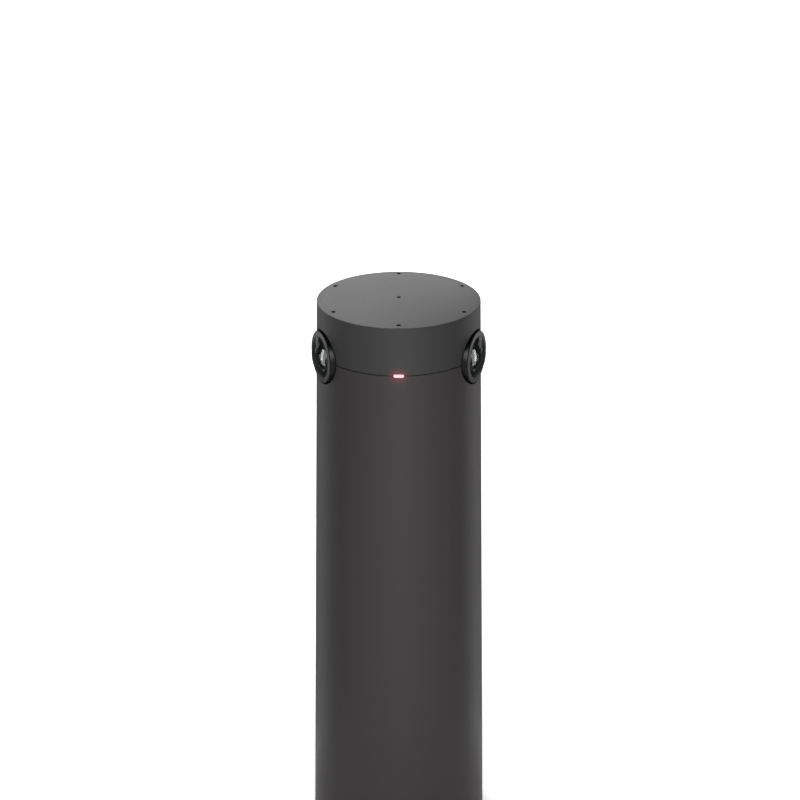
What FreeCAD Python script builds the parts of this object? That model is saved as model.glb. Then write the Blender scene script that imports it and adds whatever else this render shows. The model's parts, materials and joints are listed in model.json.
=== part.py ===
# Conference camera: an upright column with two turned lenses, a ring of microphones in its top,
# and its sockets in a recess at the back of the base.
# Millimetres. Origin at the bottom centre, +Z up, the indicator faces -Y.
import FreeCAD, Part
import math
import os
import Sketcher

os.makedirs("parts", exist_ok=True)

Vec = FreeCAD.Vector
doc = FreeCAD.newDocument("conference_camera")
sheet = doc.addObject("Spreadsheet::Sheet", "Sizes")


class Term:
    """A size, or sizes worked together, kept as the text of an expression."""

    def __init__(self, text):
        self.text = str(text)

    def __str__(self):
        return self.text

    def join(self, sign, first, second):
        return Term("(%s %s %s)" % (first, sign, second))

    def __add__(self, other):
        return self.join("+", self, other)

    def __radd__(self, other):
        return self.join("+", other, self)

    def __sub__(self, other):
        return self.join("-", self, other)

    def __rsub__(self, other):
        return self.join("-", other, self)

    def __mul__(self, other):
        return self.join("*", self, other)

    def __rmul__(self, other):
        return self.join("*", other, self)

    def __truediv__(self, other):
        return self.join("/", self, other)

    def __neg__(self):
        return self.join("-", 0, self)


def number(term):
    """The present value of a term, or of a plain number."""
    if not isinstance(term, Term):
        return float(term)
    found = sheet.evalExpression(term.text)
    return float(getattr(found, "Value", found))


sheet_rows = []


def size(alias, value):
    """One driving dimension: a row of the sheet, and the term that stands for it."""
    sheet_rows.append(alias)
    row = len(sheet_rows)
    sheet.set("A%d" % row, alias)
    sheet.set("B%d" % row, str(value))
    sheet.setAlias("B%d" % row, alias)
    return Term("Sizes." + alias)


# The whole column
column_height = size("column_height", 300.0)
rim_radius = size("rim_radius", 41.5)
draft_angle = size("draft_angle", 1.0)
crown_rise = size("crown_rise", 1.0)
rim_chamfer = size("rim_chamfer", 0.2)
shell_wall = size("shell_wall", 2.2)
top_wall = size("top_wall", 2.5)
seam_gap = size("seam_gap", 0.45)
shell_clearance = size("shell_clearance", 0.3)
play = size("play", 0.05)

# Microphones
mic_hole_radius = size("mic_hole_radius", 1.2)
mic_ring_inset = size("mic_ring_inset", 3.9)
mesh_radius = size("mesh_radius", 1.6)
mesh_thickness = size("mesh_thickness", 0.3)
mic_gasket_thickness = size("mic_gasket_thickness", 1.2)
small_board_thickness = size("small_board_thickness", 1.2)
mic_length = size("mic_length", 3.6)
mic_width = size("mic_width", 2.8)
mic_height = size("mic_height", 1.0)
mic_port_inset = size("mic_port_inset", 0.8)
sound_port_radius = size("sound_port_radius", 0.4)
mic_boss_radius = size("mic_boss_radius", 2.0)
mic_screw_circle = size("mic_screw_circle", 18.0)
socket_height = size("socket_height", 2.0)
stack_clearance = size("stack_clearance", 0.8)

# Lens rings and front glasses
lens_turn = size("lens_turn", 22.5)
ring_radius = size("ring_radius", 13.5)
ring_proud = size("ring_proud", 0.75)
ring_depth = size("ring_depth", 9.3)
ring_chamfer = size("ring_chamfer", 0.4)
ring_crown = size("ring_crown", 0.45)
ring_gap = size("ring_gap", 0.6)
ring_lip = size("ring_lip", 1.7)
ring_lip_thickness = size("ring_lip_thickness", 2.6)
ring_clearance = size("ring_clearance", 1.0)
glass_radius = size("glass_radius", 10.5)
glass_seat_depth = size("glass_seat_depth", 3.2)
glass_edge = size("glass_edge", 3.6)
glass_thickness = size("glass_thickness", 2.4)
dome_rise = size("dome_rise", 3.5)
hollow_radius = size("hollow_radius", 8.2)
throat_radius = size("throat_radius", 8.6)
glass_play = size("glass_play", 0.1)

# Camera modules, measured outward along each lens axis
module_back = size("module_back", 10.5)
module_pad = size("module_pad", 2.5)
sensor_board_half = size("sensor_board_half", 13.0)
sensor_side = size("sensor_side", 8.4)
sensor_thickness = size("sensor_thickness", 1.2)
holder_base = size("holder_base", 2.0)
holder_outer = size("holder_outer", 11.0)
holder_wall = size("holder_wall", 1.4)
holder_flange = size("holder_flange", 1.9)
holder_flange_thickness = size("holder_flange_thickness", 1.5)
hub_radius = size("hub_radius", 8.0)
hub_gap = size("hub_gap", 2.0)
filter_thickness = size("filter_thickness", 0.5)
filter_web = size("filter_web", 0.8)
aperture_radius = size("aperture_radius", 4.4)
barrel_radius = size("barrel_radius", 6.0)
barrel_head_radius = size("barrel_head_radius", 8.6)
barrel_head_length = size("barrel_head_length", 5.5)
barrel_setback = size("barrel_setback", 1.9)
barrel_bore = size("barrel_bore", 4.5)
small_lens_edge = size("small_lens_edge", 1.6)
small_lens_bulge = size("small_lens_bulge", 0.7)
small_lens_step = size("small_lens_step", 0.4)
baffle_mouth = size("baffle_mouth", 8.0)
baffle_lean = size("baffle_lean", 0.25)
module_screw_half = size("module_screw_half", 10.5)

# Camera frame
frame_wall = size("frame_wall", 2.5)
frame_half_width = size("frame_half_width", 14.0)
frame_plate = size("frame_plate", 3.0)
frame_top_wall = size("frame_top_wall", 2.5)
frame_top_inset = size("frame_top_inset", 0.9)
frame_margin = size("frame_margin", 4.0)
post_inset = size("post_inset", 3.9)
post_radius = size("post_radius", 3.0)

# Indicator
pill_length = size("pill_length", 5.2)
pill_height = size("pill_height", 1.6)
pill_clearance = size("pill_clearance", 0.12)
pipe_length = size("pipe_length", 6.6)
pipe_flange = size("pipe_flange", 1.0)
pipe_flange_inset = size("pipe_flange_inset", 0.4)
pipe_flange_thickness = size("pipe_flange_thickness", 1.2)
emitter_width = size("emitter_width", 3.4)
emitter_height = size("emitter_height", 1.4)
emitter_depth = size("emitter_depth", 1.0)
led_board_half_width = size("led_board_half_width", 7.0)
led_board_half_height = size("led_board_half_height", 6.0)
gasket_thickness = size("gasket_thickness", 1.2)
gasket_half_height = size("gasket_half_height", 3.0)
gasket_line_depth = size("gasket_line_depth", 0.9)
cutout_clearance = size("cutout_clearance", 0.4)

# Flexes and cables
flex_thickness = size("flex_thickness", 0.3)
mic_flex_half_width = size("mic_flex_half_width", 3.0)
mic_flex_plane = size("mic_flex_plane", 3.0)
led_flex_half_width = size("led_flex_half_width", 2.0)
input_flex_half_width = size("input_flex_half_width", 8.0)
flex_bend = size("flex_bend", 2.0)
cable_radius = size("cable_radius", 0.8)
cable_bend = size("cable_bend", 2.0)
cable_offset = size("cable_offset", 4.0)
cable_drop = size("cable_drop", 8.0)
cable_plane = size("cable_plane", 6.5)
plug_half = size("plug_half", 2.5)
plug_stand = size("plug_stand", 0.9)
cable_hole_half = size("cable_hole_half", 6.5)
cable_hole_reach = size("cable_hole_reach", 9.8)

# Screws
case_screw_radius = size("case_screw_radius", 1.2)
case_head_radius = size("case_head_radius", 2.2)
case_head_height = size("case_head_height", 1.6)
case_screw_bite = size("case_screw_bite", 4.5)
board_screw_radius = size("board_screw_radius", 0.8)
board_head_radius = size("board_head_radius", 1.7)
board_head_height = size("board_head_height", 1.2)
board_screw_bite = size("board_screw_bite", 2.5)
base_screw_radius = size("base_screw_radius", 1.45)
base_head_radius = size("base_head_radius", 2.8)
base_head_height = size("base_head_height", 2.0)
base_head_recess = size("base_head_recess", 0.5)
head_clearance = size("head_clearance", 0.2)
base_screw_circle = size("base_screw_circle", 26.0)
tip_room = size("tip_room", 0.2)

# Column inside
mainboard_half_width = size("mainboard_half_width", 29.0)
mainboard_face = size("mainboard_face", 0.4)
main_board_thickness = size("main_board_thickness", 1.6)
mainboard_lift = size("mainboard_lift", 44.0)
mainboard_top_gap = size("mainboard_top_gap", 4.5)
standoff_height = size("standoff_height", 4.0)
standoff_radius = size("standoff_radius", 2.5)
standoff_inset = size("standoff_inset", 4.0)
standoff_end = size("standoff_end", 8.0)
chassis_half_width = size("chassis_half_width", 31.0)
chassis_wall = size("chassis_wall", 3.5)
chassis_rear_gap = size("chassis_rear_gap", 16.3)
chassis_foot_reach = size("chassis_foot_reach", 28.0)
chassis_foot_half_width = size("chassis_foot_half_width", 27.0)
chassis_screw_x = size("chassis_screw_x", 20.0)
foot_screw_inset = size("foot_screw_inset", 6.0)
processor_half = size("processor_half", 10.5)
processor_height = size("processor_height", 2.2)
processor_drop = size("processor_drop", 46.0)
thermal_pad_half = size("thermal_pad_half", 12.5)
memory_width = size("memory_width", 9.0)
memory_length = size("memory_length", 11.0)
memory_height = size("memory_height", 1.1)
memory_gap = size("memory_gap", 2.0)
shield_half_width = size("shield_half_width", 17.0)
shield_length = size("shield_length", 34.0)
shield_height = size("shield_height", 3.0)
shield_wall = size("shield_wall", 0.3)
shield_drop = size("shield_drop", 30.0)
audio_half = size("audio_half", 7.0)
audio_height = size("audio_height", 1.4)
camera_socket_drop = size("camera_socket_drop", 20.0)
mic_socket_drop = size("mic_socket_drop", 3.0)
socket_length = size("socket_length", 4.0)
camera_socket_height = size("camera_socket_height", 2.6)
input_socket_lift = size("input_socket_lift", 1.0)
transformer_edge = size("transformer_edge", -22.0)
transformer_width = size("transformer_width", 16.0)
transformer_length = size("transformer_length", 14.0)
transformer_height = size("transformer_height", 10.0)
transformer_lift = size("transformer_lift", 6.0)
coil_edge = size("coil_edge", 2.0)
coil_side = size("coil_side", 8.0)
coil_pitch = size("coil_pitch", 11.0)
coil_height = size("coil_height", 5.0)
coil_lift = size("coil_lift", 8.0)
capacitor_edge = size("capacitor_edge", -16.0)
capacitor_radius = size("capacitor_radius", 3.6)
capacitor_pitch = size("capacitor_pitch", 10.0)
capacitor_height = size("capacitor_height", 9.0)
capacitor_lift = size("capacitor_lift", 28.0)
sink_half_width = size("sink_half_width", 26.0)
sink_base = size("sink_base", 3.0)
sink_low_margin = size("sink_low_margin", 28.0)
sink_high_margin = size("sink_high_margin", 16.0)
fin_height = size("fin_height", 13.0)
fin_thickness = size("fin_thickness", 1.6)
sink_screw_inset = size("sink_screw_inset", 4.0)

# Base
foot_reach = size("foot_reach", 1.5)
foot_groove = size("foot_groove", 1.5)
foot_width = size("foot_width", 6.0)
foot_inset = size("foot_inset", 2.3)
foot_chamfer = size("foot_chamfer", 0.4)
base_flange = size("base_flange", 1.5)
base_step = size("base_step", 1.35)
base_core = size("base_core", 3.5)
ballast_thickness = size("ballast_thickness", 8.0)
ballast_inset = size("ballast_inset", 4.0)
insert_radius = size("insert_radius", 5.0)
thread_radius = size("thread_radius", 2.55)
insert_cover = size("insert_cover", 3.0)
boss_wall = size("boss_wall", 3.0)
boss_clearance = size("boss_clearance", 0.5)

# Input board, sockets and port recess
port_recess = size("port_recess", 6.8)
panel_wall = size("panel_wall", 2.0)
recess_half_width = size("recess_half_width", 16.5)
recess_corner = size("recess_corner", 2.5)
recess_rim = size("recess_rim", 2.0)
recess_headroom = size("recess_headroom", 2.2)
recess_floor = size("recess_floor", 2.5)
board_setback = size("board_setback", 2.5)
input_board_gap = size("input_board_gap", 0.6)
input_board_half_width = size("input_board_half_width", 20.5)
input_lift = size("input_lift", 5.0)
input_screw_x = size("input_screw_x", 18.3)
input_screw_inset = size("input_screw_inset", 3.0)
input_screw_spacing = size("input_screw_spacing", 12.0)
jack_width = size("jack_width", 16.0)
jack_height = size("jack_height", 13.4)
jack_depth = size("jack_depth", 21.5)
jack_centre = size("jack_centre", -7.8)
jack_mouth_width = size("jack_mouth_width", 11.9)
jack_mouth_height = size("jack_mouth_height", 7.0)
jack_mouth_depth = size("jack_mouth_depth", 14.0)
jack_mouth_floor = size("jack_mouth_floor", 2.2)
jack_latch_width = size("jack_latch_width", 6.4)
jack_latch_height = size("jack_latch_height", 2.4)
data_width = size("data_width", 8.94)
data_height = size("data_height", 3.26)
data_depth = size("data_depth", 7.3)
data_centre = size("data_centre", 7.4)
data_shell = size("data_shell", 0.3)
data_floor = size("data_floor", 0.9)
data_tongue_width = size("data_tongue_width", 6.6)
data_tongue_thickness = size("data_tongue_thickness", 0.7)
data_tongue_setback = size("data_tongue_setback", 0.9)
button_centre = size("button_centre", 14.6)
button_radius = size("button_radius", 1.45)
button_play = size("button_play", 0.07)
button_proud = size("button_proud", 0.6)
button_travel = size("button_travel", 0.8)
button_flange = size("button_flange", 0.7)
button_flange_thickness = size("button_flange_thickness", 0.8)
button_height = size("button_height", 2.35)
stem_radius = size("stem_radius", 0.85)
stem_entry = size("stem_entry", 0.6)
stem_room = size("stem_room", 0.8)
switch_width = size("switch_width", 3.8)
switch_depth = size("switch_depth", 3.4)
switch_height = size("switch_height", 3.5)

doc.recompute()

# Heights, from the rim downward and from the table upward
rim_z = column_height - crown_rise
ceiling_z = rim_z - top_wall
gasket_top_z = ceiling_z - mesh_thickness
mic_board_top_z = gasket_top_z - mic_gasket_thickness
mic_board_low_z = mic_board_top_z - small_board_thickness
frame_top_z = mic_board_low_z - socket_height - stack_clearance
frame_ceiling_z = frame_top_z - frame_top_wall
seam_z = frame_ceiling_z - ring_clearance - ring_radius
frame_floor_z = seam_z - sensor_board_half - frame_margin
frame_low_z = frame_floor_z - frame_plate
chassis_top_z = frame_low_z - chassis_wall
mainboard_top_z = chassis_top_z - mainboard_top_gap

base_low_z = foot_reach
sleeve_low_z = base_low_z + base_flange
base_top_z = sleeve_low_z + base_core
ballast_top_z = base_top_z + ballast_thickness
chassis_foot_z = ballast_top_z + chassis_wall
mainboard_low_z = chassis_foot_z + mainboard_lift
input_low_z = ballast_top_z + input_lift
input_top_z = input_low_z + main_board_thickness
recess_low_z = ballast_top_z + recess_floor
recess_high_z = input_top_z + jack_height + recess_headroom


def skin(height):
    """Outer radius of the column at a height."""
    return rim_radius + (rim_z - height) * Term("tan(%s)" % draft_angle)


# Distances along a lens axis
ring_face = skin(seam_z) + ring_proud
ring_back = ring_face - ring_depth
glass_seat = ring_face - glass_seat_depth
board_back = module_back + module_pad
board_front = board_back + small_board_thickness
holder_floor = board_front + holder_base
web_low = board_front + holder_base + filter_thickness - play
web_high = web_low + filter_web
barrel_front = ring_back - barrel_setback
barrel_head_back = barrel_front - barrel_head_length
hub_end = barrel_head_back - hub_gap
barrel_back = web_high + glass_play * 2

# Depths, front to back
mainboard_back = mainboard_face + main_board_thickness
chassis_face = mainboard_back + standoff_height
chassis_back = chassis_face + chassis_wall
chassis_rear_y = skin(frame_low_z) - chassis_rear_gap
panel_y = skin(input_top_z) - port_recess
panel_back_y = panel_y - panel_wall
board_edge_y = panel_y - board_setback
input_front_y = chassis_back + input_board_gap
socket_face_y = panel_y - tip_room
led_face = skin(seam_z) - pipe_length
led_board_front = led_face - play * 2 - emitter_depth

QUARTER = 90.0
AXIS_TURN = {
    "x": FreeCAD.Rotation(Vec(0, 1, 0), QUARTER),
    "y": FreeCAD.Rotation(Vec(1, 0, 0), -QUARTER),
    "z": FreeCAD.Rotation(),
}
SIDES = {"right": lens_turn * -1, "left": lens_turn + 180}
FRONTWARD = {"right": -1, "left": 1}
MIC_ANGLES = (30, 90, 150, 210, 270, 330)
MIC_SCREW_ANGLES = (90, 210, 330)
POST_ANGLES = (60, 120, 240, 300)
BASE_SCREW_ANGLES = (45, 135, 225, 315)
BAFFLE_STEPS = 3
SMALL_LENSES = 3
FIN_COUNT = 9
COIL_COUNT = 2
CAPACITOR_COUNT = 4
SWEEP_TOLERANCE = 0.02
BEYOND = rim_radius * 2


def bind(thing, path, term):
    """Tie one property to the sheet, or set it where it is a plain number."""
    if isinstance(term, Term):
        thing.setExpression(path, term.text)
    else:
        thing.setExpression(path, str(term))


def place(thing, x=0, y=0, z=0):
    bind(thing, "Placement.Base.x", x)
    bind(thing, "Placement.Base.y", y)
    bind(thing, "Placement.Base.z", z)
    return thing


def block(low, high):
    """A box between two corners."""
    box = doc.addObject("Part::Box", "block")
    bind(box, "Length", high[0] - low[0])
    bind(box, "Width", high[1] - low[1])
    bind(box, "Height", high[2] - low[2])
    return place(box, *low)


def rod(axis, centre, radius, start, end):
    """A cylinder along an axis, from start to end, at the two other coordinates."""
    cylinder = doc.addObject("Part::Cylinder", "rod")
    cylinder.Placement = FreeCAD.Placement(Vec(), AXIS_TURN[axis])
    bind(cylinder, "Radius", radius)
    bind(cylinder, "Height", end - start)
    corner = list(centre)
    corner.insert("xyz".index(axis), start)
    return place(cylinder, *corner)


def fuse(*things):
    whole = doc.addObject("Part::MultiFuse", "fused")
    whole.Shapes = list(things)
    return whole


def cut(base, *tools):
    rest = doc.addObject("Part::Cut", "cut")
    rest.Base = base
    rest.Tool = tools[0] if len(tools) == 1 else fuse(*tools)
    return rest


def shared(first, second):
    overlap = doc.addObject("Part::Common", "shared")
    overlap.Base = first
    overlap.Tool = second
    return overlap


def group(*things):
    several = doc.addObject("Part::Compound", "group")
    several.Links = list(things)
    return several


def turned(side, *things):
    """Things drawn along a lens axis, turned to their side and lifted to the seam."""
    module = group(*things)
    module.Placement = FreeCAD.Placement(Vec(), FreeCAD.Rotation(Vec(0, 0, 1), QUARTER))
    bind(module, "Placement.Rotation.Angle", SIDES[side])
    return place(module, z=seam_z)


def slot(axis, low, high, radius):
    """A box along an axis whose four long edges are round."""
    along = "xyz".index(axis)
    first, second = [index for index in range(3) if index != along]

    def shrunk(across):
        inner_low = list(low)
        inner_high = list(high)
        inner_low[across] = low[across] + radius
        inner_high[across] = high[across] - radius
        return block(inner_low, inner_high)

    pieces = [shrunk(first), shrunk(second)]
    for u in (low[first] + radius, high[first] - radius):
        for v in (low[second] + radius, high[second] - radius):
            pieces.append(rod(axis, (u, v), radius, low[along], high[along]))
    return fuse(*pieces)


def pill(axis, centre, half_length, half_height, start, end):
    """A bar along an axis whose section is a lying pill: straight along X, round at both ends."""
    low_x, high_x = centre[0] - (half_length - half_height), centre[0] + (half_length - half_height)
    low = [low_x, start, centre[1] - half_height]
    high = [high_x, end, centre[1] + half_height]
    ends = [rod(axis, (x, centre[1]), half_height, start, end) for x in (low_x, high_x)]
    return fuse(block(low, high), *ends)


def sketch_of(body, role, outline, arcs=(), axis_curve=-2):
    """A closed outline on one of the body's own planes. An arc has its centre on the axis."""
    sketch = body.newObject("Sketcher::SketchObject", "outline")
    plane = [item for item in body.Origin.OriginFeatures if item.Role == role][0]
    sketch.AttachmentSupport = [(plane, "")]
    sketch.MapMode = "FlatFace"
    spots = [Vec(number(u), number(v), 0) for u, v in outline]
    count = len(spots)
    starts = {}
    ends = {}
    for index in range(count):
        here = spots[index]
        there = spots[(index + 1) % count]
        if index in arcs:
            along = 1 if axis_curve == -2 else 0
            across = 1 - along
            shift = there[along] - here[along]
            square = there[across] ** 2 - here[across] ** 2
            middle = (there[along] ** 2 - here[along] ** 2 + square) / (2 * shift)
            centre = Vec(0, middle, 0) if along else Vec(middle, 0, 0)
            turn_here = math.atan2(here.y - centre.y, here.x - centre.x)
            turn_there = math.atan2(there.y - centre.y, there.x - centre.x)
            forward = (turn_there - turn_here) % (2 * math.pi) < math.pi
            first, last = (turn_here, turn_there) if forward else (turn_there, turn_here)
            circle = Part.Circle(centre, Vec(0, 0, 1), (here - centre).Length)
            edge = sketch.addGeometry(Part.ArcOfCircle(circle, first, last), False)
            sketch.addConstraint(Sketcher.Constraint("PointOnObject", edge, 3, axis_curve))
            starts[index] = (edge, 1 if forward else 2)
            ends[index] = (edge, 2 if forward else 1)
        else:
            edge = sketch.addGeometry(Part.LineSegment(here, there), False)
            starts[index] = (edge, 1)
            ends[index] = (edge, 2)
    for index in range(count):
        following = starts[(index + 1) % count]
        sketch.addConstraint(Sketcher.Constraint("Coincident", *ends[index], *following))
    for index, spot in enumerate(outline):
        for kind, term in (("DistanceX", spot[0]), ("DistanceY", spot[1])):
            found = number(term)
            name = sketch.addConstraint(Sketcher.Constraint(kind, -1, 1, *starts[index], found))
            if isinstance(term, Term):
                sketch.setExpression("Constraints[%d]" % name, term.text)
    return sketch


def lathe(outline, arcs=(), along="z"):
    """A body turned about the column's axis (radius, height) or a lens axis (distance, radius)."""
    body = doc.addObject("PartDesign::Body", "turning")
    sketch = sketch_of(body, "XZ_Plane", outline, arcs, -2 if along == "z" else -1)
    revolution = body.newObject("PartDesign::Revolution", "revolution")
    revolution.Profile = sketch
    revolution.ReferenceAxis = (sketch, ["V_Axis" if along == "z" else "H_Axis"])
    revolution.Angle = 360
    body.Tip = revolution
    return body


def pad(role, outline, length, start):
    """A body drawn on an origin plane and padded from a start along the plane's own normal."""
    body = doc.addObject("PartDesign::Body", "padded")
    sketch = sketch_of(body, role, outline)
    feature = body.newObject("PartDesign::Pad", "pad")
    feature.Profile = sketch
    bind(feature, "Length", length)
    body.Tip = feature
    axis = {"XY_Plane": "z", "XZ_Plane": "y", "YZ_Plane": "x"}[role]
    return place(body, **{axis: start})


def screw(axis, centre, seat, sign, shank_length, kind="case"):
    """A pan-head screw: its head stands on the seat, its shank runs from the seat along sign."""
    radius, head_radius, head_height = SCREWS[kind]
    tip = seat + shank_length * sign
    top = seat - head_height * sign
    low, high = (seat, tip) if sign > 0 else (tip, seat)
    head_low, head_high = (top, seat) if sign > 0 else (seat, top)
    return fuse(rod(axis, centre, radius, low, high),
                rod(axis, centre, head_radius, head_low, head_high))


SCREWS = {
    "case": (case_screw_radius, case_head_radius, case_head_height),
    "board": (board_screw_radius, board_head_radius, board_head_height),
    "base": (base_screw_radius, base_head_radius, base_head_height),
}

nodes = {}


def node(name, thing):
    thing.Label = name
    nodes[name] = thing
    return thing


def polar(radius, angle):
    return (radius * round(math.cos(math.radians(angle)), 9),
            radius * round(math.sin(math.radians(angle)), 9))


def module_point(side, distance, across):
    """Plan position of a point given along and across a lens axis."""
    sign = 1 if side == "right" else -1
    cosine = Term("cos(%s)" % lens_turn)
    sine = Term("sin(%s)" % lens_turn)
    return ((distance * cosine + across * sine) * sign, across * cosine - distance * sine)


def lens_cutters(radius):
    """Two cylinders along the lens axes that cut only the near wall."""
    inner = ring_back - ring_lip_thickness
    return [turned(side, rod("x", (0, 0), radius, inner, BEYOND)) for side in SIDES]


# Head cap: crowned plate and skirt in one, with posts for the frame and bosses for the microphones
frame_top_radius = ring_back - frame_top_inset
post_spots = [polar(frame_top_radius - post_inset, angle) for angle in POST_ANGLES]
mic_screw_spots = [polar(mic_screw_circle, angle) for angle in MIC_SCREW_ANGLES]
mic_ring_radius = rim_radius - mic_ring_inset
mic_spots = [(0, 0)] + [polar(mic_ring_radius, angle) for angle in MIC_ANGLES]
cap_low_z = seam_z + seam_gap / 2
cap_shell = lathe([
    (0, column_height),
    (rim_radius - rim_chamfer, rim_z),
    (skin(rim_z - rim_chamfer), rim_z - rim_chamfer),
    (skin(cap_low_z), cap_low_z),
    (skin(cap_low_z) - shell_wall, cap_low_z),
    (skin(ceiling_z) - shell_wall, ceiling_z),
    (0, ceiling_z),
], arcs=(0,))
cap_posts = [rod("z", spot, post_radius, frame_top_z, ceiling_z + play) for spot in post_spots]
cap_bosses = [rod("z", spot, mic_boss_radius, mic_board_top_z, ceiling_z + play)
              for spot in mic_screw_spots]
sound_holes = [rod("z", spot, mic_hole_radius, ceiling_z - play, column_height + play)
               for spot in mic_spots]
post_pilots = [rod("z", spot, case_screw_radius + play, frame_top_z - play,
                   frame_top_z + case_screw_bite + tip_room) for spot in post_spots]
boss_pilots = [rod("z", spot, board_screw_radius + play, mic_board_top_z - play,
                   mic_board_top_z + board_screw_bite + tip_room)
               for spot in mic_screw_spots]
indicator_hole = pill("y", (0, seam_z), pill_length / 2 + pill_clearance,
                      pill_height / 2 + pill_clearance, -BEYOND, -led_face)
node("head_cap", cut(fuse(cap_shell, *cap_posts, *cap_bosses),
                     *sound_holes, *post_pilots, *boss_pilots, indicator_hole,
                     *lens_cutters(ring_radius + ring_gap)))

# Body sleeve: one tapered tube, notched for the lenses, the indicator and the port recess
sleeve_high_z = seam_z - seam_gap / 2
sleeve_tube = lathe([
    (skin(sleeve_low_z) - shell_wall, sleeve_low_z),
    (skin(sleeve_low_z), sleeve_low_z),
    (skin(sleeve_high_z), sleeve_high_z),
    (skin(sleeve_high_z) - shell_wall, sleeve_high_z),
])
port_window = slot("y", (-recess_half_width, panel_y, recess_low_z),
                   (recess_half_width, BEYOND, recess_high_z), recess_corner)
node("body_sleeve", cut(sleeve_tube, indicator_hole, port_window,
                        *lens_cutters(ring_radius + ring_gap)))

# Seam gasket: a band behind the seam with a bead in it, in arcs between the lenses and the pill
bead_half = seam_gap / 2 - play
band_low_z = seam_z - gasket_half_height
band_high_z = seam_z + gasket_half_height


def wall_inside(height):
    """Inner radius of both shells at a height, less the play of what lies against it."""
    return skin(height) - shell_wall - play


gasket_ring = lathe([
    (wall_inside(band_low_z) - gasket_thickness, band_low_z),
    (wall_inside(band_low_z), band_low_z),
    (wall_inside(seam_z - bead_half), seam_z - bead_half),
    (skin(seam_z) - gasket_line_depth, seam_z - bead_half),
    (skin(seam_z) - gasket_line_depth, seam_z + bead_half),
    (wall_inside(seam_z + bead_half), seam_z + bead_half),
    (wall_inside(band_high_z), band_high_z),
    (wall_inside(band_high_z) - gasket_thickness, band_high_z),
])
pipe_window_x = pill_length / 2 + pipe_flange + cutout_clearance
pipe_window_z = pill_height / 2 + pipe_flange + cutout_clearance
pipe_window = block((-pipe_window_x, -BEYOND, seam_z - pipe_window_z),
                    (pipe_window_x, -led_face, seam_z + pipe_window_z))
node("seam_gasket", cut(gasket_ring, pipe_window,
                        *lens_cutters(ring_radius + ring_lip + cutout_clearance)))

# Indicator: light pipe flush with the skin, emitter, board and flex
skin_cone = lathe([
    (0, seam_z - pill_length),
    (skin(seam_z - pill_length), seam_z - pill_length),
    (skin(seam_z + pill_length), seam_z + pill_length),
    (0, seam_z + pill_length),
])
pipe_bar = pill("y", (0, seam_z), pill_length / 2, pill_height / 2, -BEYOND, -led_face)
flange_front = skin(seam_z) - shell_wall - pipe_flange_inset
pipe_collar = pill("y", (0, seam_z), pill_length / 2 + pipe_flange, pill_height / 2 + pipe_flange,
                   -flange_front, pipe_flange_thickness - flange_front)
node("light_pipe", fuse(shared(pipe_bar, skin_cone), pipe_collar))
led_board_back = led_board_front - small_board_thickness
node("led_emitter", block((-emitter_width / 2, -led_face + play * 2, seam_z - emitter_height / 2),
                          (emitter_width / 2, -led_board_front, seam_z + emitter_height / 2)))
node("led_board", block((-led_board_half_width, -led_board_front, seam_z - led_board_half_height),
                        (led_board_half_width, -led_board_back, seam_z + led_board_half_height)))
led_flex_low = seam_z + led_board_half_height - socket_height
node("led_flex", block((-led_flex_half_width, -led_board_front - flex_thickness, led_flex_low),
                       (led_flex_half_width, -led_board_front, mic_board_low_z)))

# Microphone stack under the top plate
stack_radius = skin(ceiling_z) - shell_wall - shell_clearance
node("mic_mesh", group(*[rod("z", spot, mesh_radius, gasket_top_z, ceiling_z)
                         for spot in mic_spots]))
gasket_disc = rod("z", (0, 0), stack_radius, mic_board_top_z, gasket_top_z)
gasket_holes = [rod("z", spot, mic_hole_radius, mic_board_top_z - play, ceiling_z)
                for spot in mic_spots]
gasket_holes += [rod("z", spot, post_radius + shell_clearance, mic_board_top_z - play, ceiling_z)
                 for spot in post_spots]
gasket_holes += [rod("z", spot, mic_boss_radius + shell_clearance, mic_board_top_z - play,
                     ceiling_z) for spot in mic_screw_spots]
node("mic_gasket", cut(gasket_disc, *gasket_holes))
mic_disc = rod("z", (0, 0), stack_radius, mic_board_low_z, mic_board_top_z)
mic_board_holes = [rod("z", spot, sound_port_radius, mic_board_low_z - play, ceiling_z)
                   for spot in mic_spots]
mic_board_holes += [rod("z", spot, post_radius + shell_clearance, mic_board_low_z - play,
                        ceiling_z) for spot in post_spots]
mic_board_holes += [rod("z", spot, board_screw_radius + play, mic_board_low_z - play, ceiling_z)
                    for spot in mic_screw_spots]
node("mic_board", cut(mic_disc, *mic_board_holes))


def microphone(angle, reach):
    """One microphone under the board, its port near its outer end, at a ring radius."""
    can = block((reach + mic_port_inset - mic_length, -mic_width / 2, -mic_height),
                (reach + mic_port_inset, mic_width / 2, 0))
    aimed = group(can)
    aimed.Placement = FreeCAD.Placement(Vec(), FreeCAD.Rotation(Vec(0, 0, 1), angle))
    return place(aimed, z=mic_board_low_z)


node("microphones", group(microphone(-QUARTER, Term("0")),
                          *[microphone(angle, mic_ring_radius) for angle in MIC_ANGLES]))

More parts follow.
